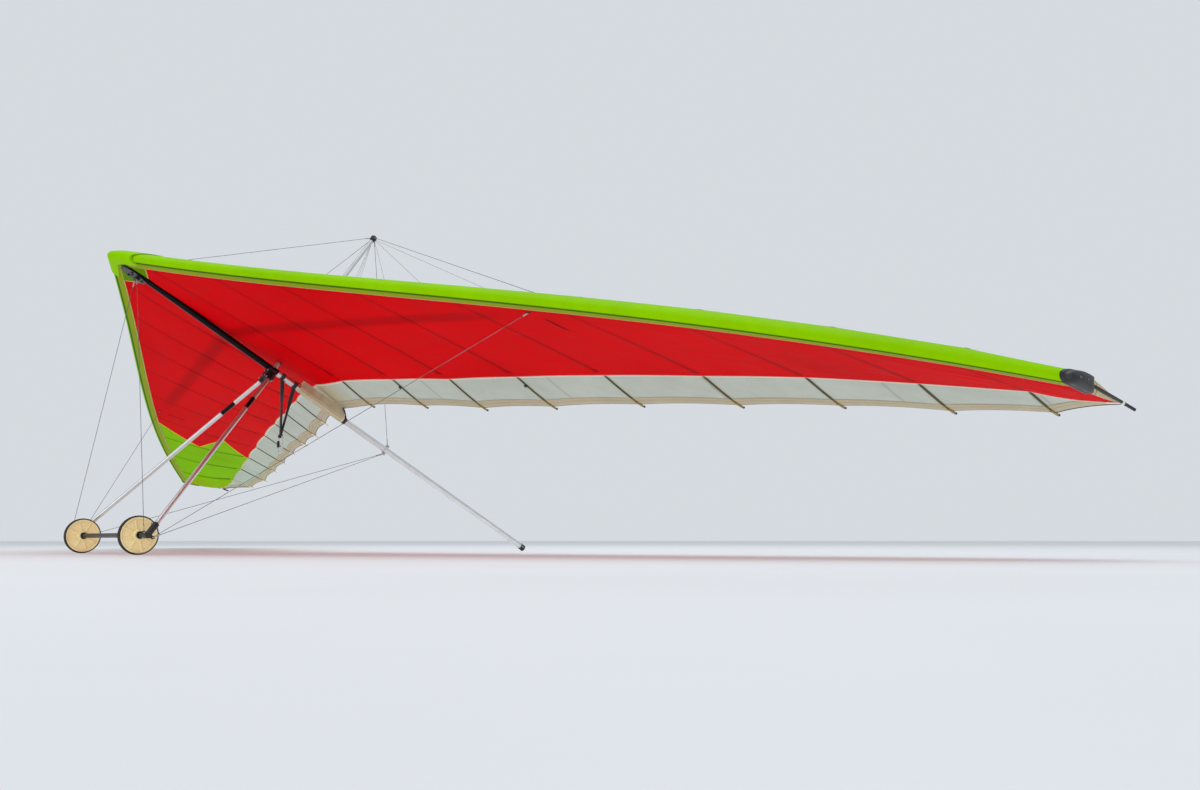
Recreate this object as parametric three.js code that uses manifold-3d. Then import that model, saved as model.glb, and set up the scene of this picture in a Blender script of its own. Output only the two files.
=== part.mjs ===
// A kingposted hang glider, rigged and parked on its two base bar wheels and the end of its keel.
// Millimetres. The glider is built level, in its own axes: x towards the left wing's tip, y aft
// along the keel from the keel's front end, z up. It is then pitched nose-up until wheels and tail
// stand on the floor, with the origin on the floor under the middle of its box.
import * as THREE from "three";
import { mergeVertices } from "three/addons/utils/BufferGeometryUtils.js";
import Module from "manifold-3d";

const wasm = await Module();
wasm.setup();

const GAP = 0.3; // running gap left between pieces that touch
const PAST = 80; // how far a bore reaches past what it cuts
const SIDES = [["left", 1], ["right", -1]];

// Airframe tubes
const KEEL_LENGTH = 3470;
const KEEL_RADIUS = 21;
const TAIL_CAP = { length: 40, wall: 2, plug: 15 };
const APEX = { y: 1090, x: 45, z: -58 }; // upper end of a downtube
const CORNER = { y: 789, x: 725, z: -1448 }; // where a downtube meets the base bar
const TUBE_RADIUS = 14; // downtubes, base bar and kingpost
const KINGPOST = { footY: 1100, topY: 1200, topZ: 1220 };
const SLEEVE_RADIUS = 19;
const LUG = { radius: 10, offset: 28, inset: 10 };
const BRACKET = { past: 22, seat: 25, inner: 62, foot: 34, sleeve: 58, armWidth: 12, armHeight: 14 };
const APEX_BLOCK = { width: 76, length: 60, height: 74, z: -45, sleeveUp: 24, sleeveDown: 46, topZ: -8 };
const KEEL_SLEEVE = { from: 1310, to: 1690, wall: 6, fin: 9, finBase: 15 };

// Wheels on the base bar
const WHEEL = { x: 563, radius: 110, tyre: 7, width: 40, hubRadius: 26, hubWidth: 56, web: 7 };
const WHEEL_RIBS = { count: 8, height: 18, thick: 8 };
const AXLE_PLAY = 0.8;
const COLLAR = { radius: 21, width: 12, play: 3 };

// Hang strap round the keel, and its carabiner
const STRAP = { frontY: 1175, rearY: 1275, drop: 400, width: 28, thick: 4, ringWall: 3.4, play: 0.7 };
const BIGHT = { bore: 6.4, radius: 13 };
const CARABINER = { width: 62, length: 108, rod: 6 };

// Stays: radius of the wire, and of the pressed ferrule at each end
const WIRE = { radius: 1.5, ferrule: 4, ferruleLength: 50, seat: 5 };
const REAR_STAY_Y = 2080;
const SIDE_STAY = { x: 2729, y: 1232 };

// Sail: the trailing edge at each batten, from the keel out
const BATTENS = [
  // x, y and z of the batten's end, share of the chord that the undersurface covers
  { x: 251, y: 1723, z: 118, under: 0.85 },
  { x: 732, y: 1861, z: 152, under: 0.83 },
  { x: 1216, y: 2015, z: 185, under: 0.81 },
  { x: 1742, y: 2160, z: 237, under: 0.795 },
  { x: 2352, y: 2320, z: 294, under: 0.785 },
  { x: 2957, y: 2501, z: 344, under: 0.77 },
  { x: 3522, y: 2655, z: 383, under: 0.755 },
  { x: 4075, y: 2805, z: 393, under: 0.735 },
  { x: 4563, y: 2880, z: 383, under: 0.74 },
];
const ROOT = { x: GAP / 2, y: 1660, z: 72, under: 0.857 };
const TIP = { x: 4950, y: 2741, z: 292, under: 0.97 };
const SCALLOP = 22; // how far the edge draws in between two battens
const CLOTH = 4; // thickness of the single sheet behind the undersurface
const POCKET = 65; // depth of the leading edge pocket
const NOSE = { y: -152, radiusY: 35, radiusZ: 26 };
const BATTEN_ROD = { radius: 6, overhang: 32 };
const WELT = { half: 13, high: 4, edge: -1, sunk: -3.5 }; // raised pocket of a batten on the upper skin
const CAMBER = 0.095;
const CAMBER_FRONT = 0.7;
const CAMBER_REAR = 1.5;
const BELLY = 9; // how far the undersurface sags between its front and rear edge

// How dull and how metallic each finish is
const finish = (color, roughness, metalness = 0) =>
  new THREE.MeshStandardMaterial({ color, roughness, metalness });
const LIME = finish(0x86c808, 0.55);
const RED = finish(0xc4040c, 0.6);
const WHITE = finish(0xc9cbc3, 0.65);
const ALLOY = finish(0xb9bab6, 0.35, 0.9);
const DARK_ALLOY = finish(0x1a1b1d, 0.4, 0.6);
const BLACK = finish(0x111214, 0.6);
const STEEL = finish(0x8d9093, 0.3, 1);
const CREAM = finish(0xf0cf7c, 0.4);
const RUBBER = finish(0x17171a, 0.85);
const WEBBING = finish(0x15161a, 0.9);

const glider = new THREE.Group();
const v = (x, y, z) => new THREE.Vector3(x, y, z);

function add(name, geometry, material) {
  const mesh = new THREE.Mesh(geometry, material);
  mesh.name = name;
  glider.add(mesh);
}

// A closed mesh as a solid, a solid as a geometry, and the sum of several geometries
function solid(geometry) {
  const bare = geometry.clone();
  bare.deleteAttribute("normal");
  bare.deleteAttribute("uv");
  const merged = mergeVertices(bare, 1e-3);
  return new wasm.Manifold(
    new wasm.Mesh({
      numProp: 3,
      vertProperties: merged.attributes.position.array,
      triVerts: new Uint32Array(merged.index.array),
    }),
  );
}
function geometryOf(body) {
  const mesh = body.getMesh();
  return new THREE.BufferGeometry()
    .setAttribute("position", new THREE.BufferAttribute(mesh.vertProperties, 3))
    .setIndex(new THREE.BufferAttribute(mesh.triVerts, 1));
}
const join = (...parts) => parts.map(solid).reduce((sum, part) => sum.add(part));
const cut = (body, ...tools) => tools.map(solid).reduce((rest, tool) => rest.subtract(tool), body);

// A round bar between two points, and a turned profile laid along the line between them
function along(geometry, from, to) {
  const axis = to.clone().sub(from).normalize();
  const turn = new THREE.Quaternion().setFromUnitVectors(v(0, 1, 0), axis);
  return geometry.applyQuaternion(turn).translate(from.x, from.y, from.z);
}
function bar(from, to, radius, sides = 20) {
  const length = from.distanceTo(to);
  const geometry = new THREE.CylinderGeometry(radius, radius, length, sides);
  return along(geometry.translate(0, length / 2, 0), from, to);
}
function turned(profile, from, to, sides) {
  const points = profile.map(([r, h]) => new THREE.Vector2(r, h));
  return along(new THREE.LatheGeometry(points, sides), from, to);
}

// Leading edge, as plan position and height at span x: swept, and bowed by the load of the sail
const leading = (x) => {
  const s = x / 1000;
  return {
    y: NOSE.y + 508.3 * s - 39.2 * s ** 2 + 7.5 * s ** 3,
    z: 6.8 * s + 4.2 * s ** 2,
  };
};

// Spanwise stations: each batten, and between two battens a point where the edge draws in
function stations() {
  const rows = [ROOT, ...BATTENS, TIP];
  const list = [];
  rows.forEach((row, i) => {
    list.push(row);
    const next = rows[i + 1];
    if (!next || row === ROOT) return;
    const mid = (key) => (row[key] + next[key]) / 2;
    list.push({ x: mid("x"), y: mid("y") - SCALLOP, z: mid("z") - 3, under: mid("under") });
  });
  return list;
}

// One rib of the sail: points on its upper and lower skin at share t of the chord
function rib(station) {
  const front = leading(station.x);
  const dy = station.y - front.y;
  const dz = station.z - front.z;
  const chord = Math.hypot(dy, dz);
  const peak = CAMBER_FRONT / (CAMBER_FRONT + CAMBER_REAR);
  const shape = (t) => t ** CAMBER_FRONT * (1 - t) ** CAMBER_REAR;
  const rise = (t) => (CAMBER * chord * shape(t)) / shape(peak);
  const point = (t, height) =>
    v(station.x, front.y + dy * t - (height * dz) / chord, front.z + dz * t + (height * dy) / chord);
  const depth = (t) => {
    const d = t * chord;
    if (d < NOSE.radiusY) return -NOSE.radiusZ * Math.sqrt(1 - (1 - d / NOSE.radiusY) ** 2);
    const end = station.under * chord;
    const share = (d - NOSE.radiusY) / (end - NOSE.radiusY);
    const straight = -NOSE.radiusZ + share * (rise(station.under) - CLOTH + NOSE.radiusZ);
    return straight - 4 * BELLY * share * (1 - share);
  };
  return {
    chord,
    upper: (t, lift = 0) => point(t, rise(t) + lift),
    lower: (t) => point(t, t < station.under ? depth(t) : rise(t) - CLOTH),
  };
}

// A closed skin through rings of the same number of points, with its two end faces
function loft(rings) {
  const n = rings[0].length;
  const positions = rings.flat().flatMap((p) => [p.x, p.y, p.z]);
  const index = [];
  for (let r = 0; r + 1 < rings.length; r++)
    for (let i = 0; i < n; i++) {
      const a = r * n + i;
      const b = r * n + ((i + 1) % n);
      index.push(a, b, a + n, b, b + n, a + n);
    }
  const cap = (ring) => {
    const flat = ring.map((p) => new THREE.Vector2(p.y, p.z));
    const faces = THREE.ShapeUtils.triangulateShape(flat, []);
    return THREE.ShapeUtils.isClockWise(flat) ? faces.map(([a, b, c]) => [c, b, a]) : faces;
  };
  const last = (rings.length - 1) * n;
  for (const [a, b, c] of cap(rings[0])) index.push(c, b, a);
  for (const [a, b, c] of cap(rings[rings.length - 1])) index.push(last + a, last + b, last + c);
  const geometry = new THREE.BufferGeometry().setAttribute(
    "position",
    new THREE.Float32BufferAttribute(positions, 3),
  );
  geometry.setIndex(index);
  return outward(geometry);
}

// Turns a closed geometry right side out, whichever way its rings were listed
function outward(geometry) {
  const p = geometry.attributes.position;
  const index = geometry.index.array;
  const [a, b, c] = [v(), v(), v()];
  let volume = 0;
  for (let i = 0; i < index.length; i += 3) {
    [a, b, c].forEach((w, k) => w.fromBufferAttribute(p, index[i + k]));
    volume += a.dot(b.cross(c));
  }
  if (volume < 0)
    for (let i = 0; i < index.length; i += 3) [index[i], index[i + 1]] = [index[i + 1], index[i]];
  return geometry;
}

const mirrored = (points, side) => points.map((p) => v(p.x * side, p.y, p.z));

// The station at any span x, on the straight line between its two neighbours
function stationAt(x) {
  const list = stations();
  const i = list.findIndex((row) => row.x > x);
  const [a, b] = [list[i - 1], list[i]];
  const k = (x - a.x) / (b.x - a.x);
  const blend = (key) => a[key] + (b[key] - a[key]) * k;
  return { x, y: blend("y"), z: blend("z"), under: blend("under") };
}

// Battens' pockets: a welt of cloth over each batten, raised along its middle. The shares give the
// points that it follows along the chord of a rib.
function battenWelts(side, sharesOf) {
  const rows = [
    // place across the welt, height of its top there
    { across: -1, top: WELT.edge },
    { across: 0, top: WELT.high },
    { across: 1, top: WELT.edge },
  ];
  return BATTENS.map((batten) =>
    loft(
      rows.map(({ across, top }) => {
        const station = stationAt(batten.x + across * WELT.half);
        const r = rib(station);
        const shares = sharesOf(station, r);
        const under = [...shares].reverse();
        const outline = [...shares.map((t) => r.upper(t, top)), ...under.map((t) => r.upper(t, WELT.sunk))];
        return mirrored(outline, side);
      }),
    ),
  );
}

// Leading edge pocket, with the mylar insert round its nose
function leadingEdge(side) {
  const depths = [65, 35, 14, 4];
  const under = [5, 16, 35, 65];
  return loft(
    stations().map((station) => {
      const r = rib(station);
      return mirrored(
        [...depths.map((d) => r.upper(d / r.chord)), r.upper(0), ...under.map((d) => r.lower(d / r.chord))],
        side,
      );
    }),
  );
}

// Double surface: upper skin with its battens' pockets, and undersurface, closed at its rear end
function doubleSurface(side) {
  const shares = [0, 0.08, 0.2, 0.35, 0.5, 0.66, 0.83, 1];
  const along = (station, r) => {
    const from = (POCKET + GAP) / r.chord;
    return (k) => from + (station.under - from) * k;
  };
  const skins = loft(
    stations().map((station) => {
      const r = rib(station);
      const at = along(station, r);
      return mirrored(
        [...shares.map((k) => r.upper(at(k))), r.lower(at(1)), r.lower(at(0.5)), r.lower(at(0))],
        side,
      );
    }),
  );
  const behindPocket = [0.06, ...shares.slice(1, -1), 0.99];
  const welts = battenWelts(side, (station, r) => behindPocket.map(along(station, r)));
  return join(skins, ...welts);
}

// Single sheet behind the undersurface, with the rear ends of its battens
function trailingPanel(side) {
  const shares = [0, 0.33, 0.66, 1];
  const along = (station, r) => {
    const from = station.under + GAP / r.chord;
    return (k) => from + (1 - from) * k;
  };
  const sheet = loft(
    stations().map((station) => {
      const r = rib(station);
      const at = along(station, r);
      return mirrored(
        [...shares.map((k) => r.upper(at(k))), ...shares.map((k) => r.lower(at(1 - k)))],
        side,
      );
    }),
  );
  const rods = BATTENS.map((station) => {
    const r = rib(station);
    const middle = (t) => r.upper(t).add(r.lower(t)).multiplyScalar(0.5);
    const start = middle(station.under + (BATTEN_ROD.radius + 2 * GAP) / r.chord);
    const end = middle(1);
    end.add(end.clone().sub(start).setLength(BATTEN_ROD.overhang));
    const [a, b] = mirrored([start, end], side);
    return bar(a, b, BATTEN_ROD.radius, 8);
  });
  const beforeEdge = [0.03, ...shares.slice(1, -1), 0.97];
  const welts = battenWelts(side, (station, r) => beforeEdge.map(along(station, r)));
  return geometryOf(join(sheet, ...rods, ...welts));
}

// Moulded cap that closes the end of the leading edge
function tipCap(side) {
  const r = rib(TIP);
  const shares = [0.42, 0.25, 0.1, 0.03, 0];
  const outline = [...shares.map((t) => r.upper(t)), ...shares.slice(0, 4).reverse().map((t) => r.lower(t))];
  const middle = outline.reduce((sum, p) => sum.add(p), v()).divideScalar(outline.length);
  const steps = [
    // reach past the sail's end, size against the sail's own section
    { reach: GAP, size: 1 },
    { reach: 16, size: 0.95 },
    { reach: 28, size: 0.78 },
    { reach: 34, size: 0.5 },
  ];
  return loft(
    steps.map(({ reach, size }) =>
      mirrored(
        outline.map((p) => p.clone().sub(middle).multiplyScalar(size).add(middle).setX(TIP.x + reach)),
        side,
      ),
    ),
  );
}

// Tip wand: the rod that spreads the tip, from the leading edge's cap to past the trailing edge
function tipWand(side) {
  const r = rib(TIP);
  const radius = 7;
  const outside = TIP.x + radius + GAP;
  const [a, b, c] = [0.47, 0.98, 1.14].map((t) => {
    const p = r.upper(t < 1 ? t : 1).add(r.lower(t < 1 ? t : 1)).multiplyScalar(0.5);
    return v(outside, p.y + (t > 1 ? (t - 1) * r.chord : 0), p.z + (t > 1 ? 12 : 0));
  });
  c.x += 10;
  const points = mirrored([a, b, c], side);
  return geometryOf(join(bar(points[0], points[1], radius, 10), bar(points[1], points[2], radius, 10)));
}

// Nose cone: a cloth cover pulled over the two leading edges where they meet
function noseCone() {
  const halfWidth = 200;
  const uppers = [230, 150, 65, 35, 14, 4];
  const lowers = [5, 16, 35, 65, 95];
  const xs = [-1, -0.6, -0.25, 0, 0.25, 0.6, 1].map((k) => k * halfWidth);
  const rows = xs.map((x) => {
    const share = Math.abs(x) / halfWidth;
    const near = { ...ROOT, x: Math.max(Math.abs(x), 0.01) };
    near.y = ROOT.y + (BATTENS[0].y - ROOT.y) * (near.x / BATTENS[0].x);
    near.z = ROOT.z + (BATTENS[0].z - ROOT.z) * (near.x / BATTENS[0].x);
    const r = rib(near);
    const trim = 1 - 0.25 * share;
    const line = [
      ...uppers.map((d) => r.upper((d * (d > POCKET ? trim : 1)) / r.chord)),
      r.upper(0),
      ...lowers.map((d) => r.lower((d * (d > POCKET ? trim : 1)) / r.chord)),
    ];
    const offset = (p, i, by) => {
      const before = line[Math.max(i - 1, 0)];
      const after = line[Math.min(i + 1, line.length - 1)];
      const t = after.clone().sub(before).normalize();
      return v(x, p.y + t.z * by, p.z - t.y * by);
    };
    const outer = line.map((p, i) => offset(p, i, 6.5));
    const inner = line.map((p, i) => offset(p, i, 2.5)).reverse();
    return [...outer, ...inner];
  });
  return loft(rows);
}

// Keel tube and the cap that it stands on
const keelEnd = KEEL_LENGTH - TAIL_CAP.plug;
add("keel_tube", bar(v(0, 0, 0), v(0, keelEnd, 0), KEEL_RADIUS, 24), ALLOY);
function keelCap() {
  const outer = KEEL_RADIUS + TAIL_CAP.wall;
  const start = KEEL_LENGTH - TAIL_CAP.length;
  const body = solid(bar(v(0, start, 0), v(0, KEEL_LENGTH, 0), outer, 24));
  const bore = bar(v(0, start - PAST, 0), v(0, keelEnd + GAP, 0), KEEL_RADIUS + GAP, 24);
  return geometryOf(cut(body, bore));
}
add("keel_end_cap", keelCap(), BLACK);

// Keel pocket: a cloth sleeve round the keel, sewn to the sail above it
function keelPocket() {
  const { from, to, wall, fin: width, finBase } = KEEL_SLEEVE;
  const inset = 10;
  const sleeve = bar(v(0, from, 0), v(0, to, 0), KEEL_RADIUS + wall, 24);
  const r = rib(ROOT);
  const top = [0, 0.25, 0.5, 0.75, 1].map((k) => {
    const y = from + inset + (ROOT.y - from - inset) * k;
    const t = (y - NOSE.y) / (ROOT.y - NOSE.y);
    return new THREE.Vector2(y, r.lower(Math.min(t, 1)).z - 1.5);
  });
  const base = [ROOT.y + 2 * inset, from + inset].map((y) => new THREE.Vector2(y, finBase));
  const outline = [...base, ...top];
  const fin = new THREE.ExtrudeGeometry(new THREE.Shape(outline), { depth: width, bevelEnabled: false });
  fin.translate(0, 0, -width / 2);
  const turn = new THREE.Matrix4().makeBasis(v(0, 1, 0), v(0, 0, 1), v(1, 0, 0));
  const bore = bar(v(0, from - PAST, 0), v(0, to + PAST, 0), KEEL_RADIUS + 2 * GAP, 24);
  return geometryOf(cut(join(sleeve, fin.applyMatrix4(turn)), bore));
}
add("keel_pocket", keelPocket(), WHITE);

// Rear wire tang: a clamp band on the keel behind the sail, with an ear above and below
function rearTang() {
  const [width, band, ear, earThick] = [26, 4, 14, 12];
  const y = REAR_STAY_Y;
  const ring = bar(v(0, y - width / 2, 0), v(0, y + width / 2, 0), KEEL_RADIUS + band, 24);
  const ears = new THREE.BoxGeometry(earThick, width, 2 * (KEEL_RADIUS + band + ear));
  ears.translate(0, y, 0);
  const bore = bar(v(0, y - width, 0), v(0, y + width, 0), KEEL_RADIUS + GAP, 24);
  return geometryOf(cut(join(ring, ears), bore, ...seatsOf(REAR_WIRES)));
}

// Nose plate under the keel's front end, with its three bolts and the ear of the front wires
const PLATE = { top: -21.6, thick: 5, ear: 16, earY: 66 };
function nosePlate() {
  const outline = [
    [-62, 22],
    [-34, -42],
    [34, -42],
    [62, 22],
    [30, 122],
    [-30, 122],
  ].map(([x, y]) => new THREE.Vector2(x, y));
  const plate = new THREE.ExtrudeGeometry(new THREE.Shape(outline), { depth: PLATE.thick, bevelEnabled: false });
  plate.translate(0, 0, PLATE.top - PLATE.thick);
  const low = PLATE.top - PLATE.thick - 7;
  const bolts = [[0, 30], [0, 100], [-36, 18], [36, 18]].map(([x, y]) =>
    bar(v(x, y, low), v(x, y, PLATE.top - 1), 7, 6),
  );
  const ear = new THREE.BoxGeometry(60, 24, PLATE.ear);
  ear.translate(0, PLATE.earY, PLATE.top - PLATE.thick - PLATE.ear / 2 + 1);
  return geometryOf(cut(join(plate, ear, ...bolts), ...seatsOf(FRONT_WIRES)));
}

// Downtubes, base bar and the brackets that join them
const apexEnd = (side) => v(APEX.x * side, APEX.y, APEX.z);
const cornerEnd = (side) => v(CORNER.x * side, CORNER.y, CORNER.z);
const downtubeAxis = (side) => cornerEnd(side).sub(apexEnd(side)).normalize();
const downtubeFoot = (side) => cornerEnd(side).addScaledVector(downtubeAxis(side), -BRACKET.foot);

function cornerBracket(name, side) {
  const bore = TUBE_RADIUS + GAP;
  const end = CORNER.x + BRACKET.past;
  const seat = CORNER.x - BRACKET.seat;
  const at = (x) => v(x * side, CORNER.y, CORNER.z);
  const up = downtubeAxis(side).negate();
  const foot = downtubeFoot(side);
  const barSleeve = bar(at(CORNER.x - BRACKET.inner), at(end), SLEEVE_RADIUS);
  const tubeSleeve = bar(cornerEnd(side), foot.clone().addScaledVector(up, BRACKET.sleeve), SLEEVE_RADIUS);
  const lugs = [-1, 1].map((way) =>
    new THREE.SphereGeometry(LUG.radius, 12, 8).translate(
      (end - LUG.inset) * side,
      CORNER.y + LUG.offset * way,
      CORNER.z,
    ),
  );
  const arm = new THREE.BoxGeometry(BRACKET.armWidth, 2 * LUG.offset, BRACKET.armHeight);
  arm.translate((end - LUG.inset) * side, CORNER.y, CORNER.z);
  const barBore = bar(at(CORNER.x - PAST), at(seat + GAP), bore);
  const tubeBore = bar(foot.clone().addScaledVector(up, -GAP), foot.clone().addScaledVector(up, PAST), bore);
  const seats = seatsOf([`front_wire_${name}`, `rear_wire_${name}`, `side_wire_${name}`]);
  return geometryOf(cut(join(barSleeve, tubeSleeve, arm, ...lugs), barBore, tubeBore, ...seats));
}

function baseBar() {
  const half = CORNER.x - BRACKET.seat;
  const near = WHEEL.x - WHEEL.hubWidth / 2 - COLLAR.play;
  const far = WHEEL.x + WHEEL.hubWidth / 2 + COLLAR.play;
  const side = [
    [TUBE_RADIUS, near - COLLAR.width],
    [COLLAR.radius, near - COLLAR.width],
    [COLLAR.radius, near],
    [TUBE_RADIUS, near],
    [TUBE_RADIUS, far],
    [COLLAR.radius, far],
    [COLLAR.radius, far + COLLAR.width],
    [TUBE_RADIUS, far + COLLAR.width],
    [TUBE_RADIUS, half],
  ];
  const profile = [
    [0, -half],
    ...side.map(([r, h]) => [r, -h]).reverse(),
    ...side,
    [0, half],
  ];
  return turned(profile, v(0, CORNER.y, CORNER.z), v(1, CORNER.y, CORNER.z), 24);
}
add("base_bar", baseBar(), DARK_ALLOY);

// Every stay by name: its two anchors, and how far short of each the wire stops
const kingFoot = v(0, KINGPOST.footY, KEEL_RADIUS + 1.6);
const kingTop = v(0, KINGPOST.topY, KINGPOST.topZ);
const kingAxis = kingTop.clone().sub(kingFoot).normalize();
const capMiddle = kingTop.clone().addScaledVector(kingAxis, 34);
const lugCentre = (side, way) =>
  v((CORNER.x + BRACKET.past - LUG.inset) * side, CORNER.y + LUG.offset * way, CORNER.z);
const STAYS = {};
for (const [name, side] of SIDES) {
  const noseEar = v(24 * side, PLATE.earY, PLATE.top - PLATE.thick - PLATE.ear);
  const tail = v(6 * side, REAR_STAY_Y, -KEEL_RADIUS - 10);
  const start = LUG.radius - WIRE.seat;
  STAYS[`front_wire_${name}`] = { from: lugCentre(side, -1), to: noseEar, start, end: 0 };
  STAYS[`rear_wire_${name}`] = { from: lugCentre(side, 1), to: tail, start, end: 0 };
  const [below, above] = ["lower", "upper"].map((skin) => sideAnchor(side, skin));
  STAYS[`side_wire_${name}`] = { from: lugCentre(side, 1), to: below, start, end: -WIRE.seat };
  STAYS[`top_side_wire_${name}`] = { from: capMiddle, to: above, start: 16, end: -3 * WIRE.seat };
}
STAYS.top_rear_wire = { from: capMiddle, to: v(0, REAR_STAY_Y, KEEL_RADIUS + 12), start: 18, end: 0 };
STAYS.top_front_wire = { from: capMiddle, to: v(0, 10, KEEL_RADIUS + 4), start: 18, end: 150 };
const FRONT_WIRES = ["front_wire_left", "front_wire_right"];
const REAR_WIRES = ["rear_wire_left", "rear_wire_right", "top_rear_wire"];
const TOP_WIRES = ["top_side_wire_left", "top_side_wire_right", "top_rear_wire", "top_front_wire"];

function apexBracket() {
  const { width, length, height, z, sleeveUp, sleeveDown, topZ } = APEX_BLOCK;
  const block = new THREE.BoxGeometry(width, length, height).translate(0, APEX.y, z);
  const downtubeBar = (side, from, to, radius) => {
    const axis = downtubeAxis(side);
    return bar(apexEnd(side).addScaledVector(axis, from), apexEnd(side).addScaledVector(axis, to), radius);
  };
  const sleeves = SIDES.map(([, side]) => downtubeBar(side, -sleeveUp, sleeveDown, SLEEVE_RADIUS));
  const bores = SIDES.map(([, side]) => downtubeBar(side, -GAP, PAST, TUBE_RADIUS + GAP));
  const saddle = bar(v(0, APEX.y - PAST, 0), v(0, APEX.y + PAST, 0), KEEL_RADIUS + GAP, 24);
  const overKeel = new THREE.BoxGeometry(2 * PAST, 2 * PAST, PAST).translate(0, APEX.y, topZ + PAST / 2);
  return geometryOf(cut(join(block, ...sleeves), ...bores, saddle, overKeel));
}
add("apex_bracket", apexBracket(), DARK_ALLOY);

// Kingpost, standing on the keel through the sail, and the cap that the upper wires hang from
add("kingpost", bar(kingFoot, kingTop, TUBE_RADIUS), ALLOY);
const CAP_PROFILE = [
  [0, GAP],
  [TUBE_RADIUS + 2, GAP],
  [TUBE_RADIUS + 8, 8],
  [TUBE_RADIUS + 8, 36],
  [TUBE_RADIUS - 2, 46],
  [0, 46],
];
const kingCap = turned(CAP_PROFILE, kingTop, kingTop.clone().add(kingAxis), 20);

// Wheels: a moulded disc with hub and rim, and a thin tyre on it
const RIM = WHEEL.radius - WHEEL.tyre;
function discProfile() {
  const bore = TUBE_RADIUS + AXLE_PLAY;
  const [hub, web, rim] = [WHEEL.hubWidth / 2, WHEEL.web / 2, WHEEL.width / 2 - 3];
  return [
    [bore, -hub],
    [WHEEL.hubRadius, -hub],
    [WHEEL.hubRadius + 6, -web],
    [RIM - 14, -web],
    [RIM - 6, -rim],
    [RIM - GAP, -rim],
    [RIM - GAP, rim],
    [RIM - 6, rim],
    [RIM - 14, web],
    [WHEEL.hubRadius + 6, web],
    [WHEEL.hubRadius, hub],
    [bore, hub],
    [bore, -hub],
  ];
}
function tyreProfile() {
  const half = WHEEL.width / 2;
  return [
    [RIM, -half + 2],
    [RIM + 2, -half],
    [WHEEL.radius - 3, -half + 2],
    [WHEEL.radius, -half + 8],
    [WHEEL.radius, half - 8],
    [WHEEL.radius - 3, half - 2],
    [RIM + 2, half],
    [RIM, half - 2],
    [RIM, -half + 2],
  ];
}

function wheelDisc(hub) {
  const { count, height, thick } = WHEEL_RIBS;
  const [inner, outer] = [WHEEL.hubRadius - 2, RIM - 10];
  const ribs = Array.from({ length: count }, (_, i) =>
    new THREE.BoxGeometry(height, outer - inner, thick)
      .translate(0, (inner + outer) / 2, 0)
      .rotateX((2 * Math.PI * i) / count)
      .translate(hub.x, hub.y, hub.z),
  );
  return geometryOf(join(turned(discProfile(), hub, hub.clone().add(v(1, 0, 0)), 32), ...ribs));
}

// Where a side wire goes into the sail, on its lower or upper skin
function sideAnchor(side, skin) {
  const near = BATTENS[4];
  const next = BATTENS[5];
  const k = (SIDE_STAY.x - near.x) / (next.x - near.x);
  const blend = (key) => near[key] + (next[key] - near[key]) * k;
  const r = rib({ x: SIDE_STAY.x, y: blend("y") - SCALLOP, z: blend("z"), under: blend("under") });
  const p = r[skin]((SIDE_STAY.y - leading(SIDE_STAY.x).y) / r.chord);
  return v(p.x * side, p.y, p.z);
}

// A stay from one anchor to another: wire with a pressed ferrule at each end, seated in what
// carries it. The seat is the same bar, larger by the running gap.
function wireEnds({ from, to, start, end }) {
  const axis = to.clone().sub(from).normalize();
  return [from.clone().addScaledVector(axis, start), to.clone().addScaledVector(axis, -end)];
}
function stay(line) {
  const [a, b] = wireEnds(line);
  const length = a.distanceTo(b);
  const { radius, ferrule, ferruleLength } = WIRE;
  const profile = [
    [0, 0],
    [ferrule, 0],
    [ferrule, ferruleLength],
    [radius, ferruleLength],
    [radius, length - ferruleLength],
    [ferrule, length - ferruleLength],
    [ferrule, length],
    [0, length],
  ];
  return turned(profile, a, b, 8);
}
function seat(line) {
  const [a, b] = wireEnds(line);
  const axis = b.clone().sub(a).normalize();
  return bar(a.addScaledVector(axis, -GAP), b.addScaledVector(axis, GAP), WIRE.ferrule + GAP, 8);
}
const seatsOf = (names) => names.map((name) => seat(STAYS[name]));

// The parts that come in pairs, and the sail cut free of keel, kingpost and strap
const keelRoom = bar(v(0, -40, 0), v(0, 2000, 0), KEEL_RADIUS + 2, 24);
const kingRoom = bar(kingFoot, kingTop, TUBE_RADIUS + GAP * 2, 20);
for (const [name, side] of SIDES) {
  add(`leading_edge_${name}`, leadingEdge(side), LIME);
  const seats = seatsOf([`side_wire_${name}`, `top_side_wire_${name}`, "top_front_wire"]);
  const wing = geometryOf(cut(doubleSurface(side), keelRoom, kingRoom, ...seats));
  add(`wing_panel_${name}`, wing, RED);
  add(`trailing_panel_${name}`, trailingPanel(side), WHITE);
  add(`tip_cap_${name}`, tipCap(side), BLACK);
  add(`tip_wand_${name}`, tipWand(side), DARK_ALLOY);

  add(`downtube_${name}`, bar(apexEnd(side), downtubeFoot(side), TUBE_RADIUS), ALLOY);
  add(`corner_bracket_${name}`, cornerBracket(name, side), BLACK);

  const hub = v(WHEEL.x * side, CORNER.y, CORNER.z);
  add(`wheel_${name}`, wheelDisc(hub), CREAM);
  add(`tyre_${name}`, turned(tyreProfile(), hub, hub.clone().add(v(1, 0, 0)), 48), RUBBER);
}
add("rear_wire_tang", rearTang(), STEEL);
add("nose_plate", nosePlate(), ALLOY);
add("nose_cone", noseCone(), LIME);
add("kingpost_cap", geometryOf(cut(solid(kingCap), ...seatsOf(TOP_WIRES))), BLACK);
for (const [name, line] of Object.entries(STAYS)) add(name, stay(line), STEEL);

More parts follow.
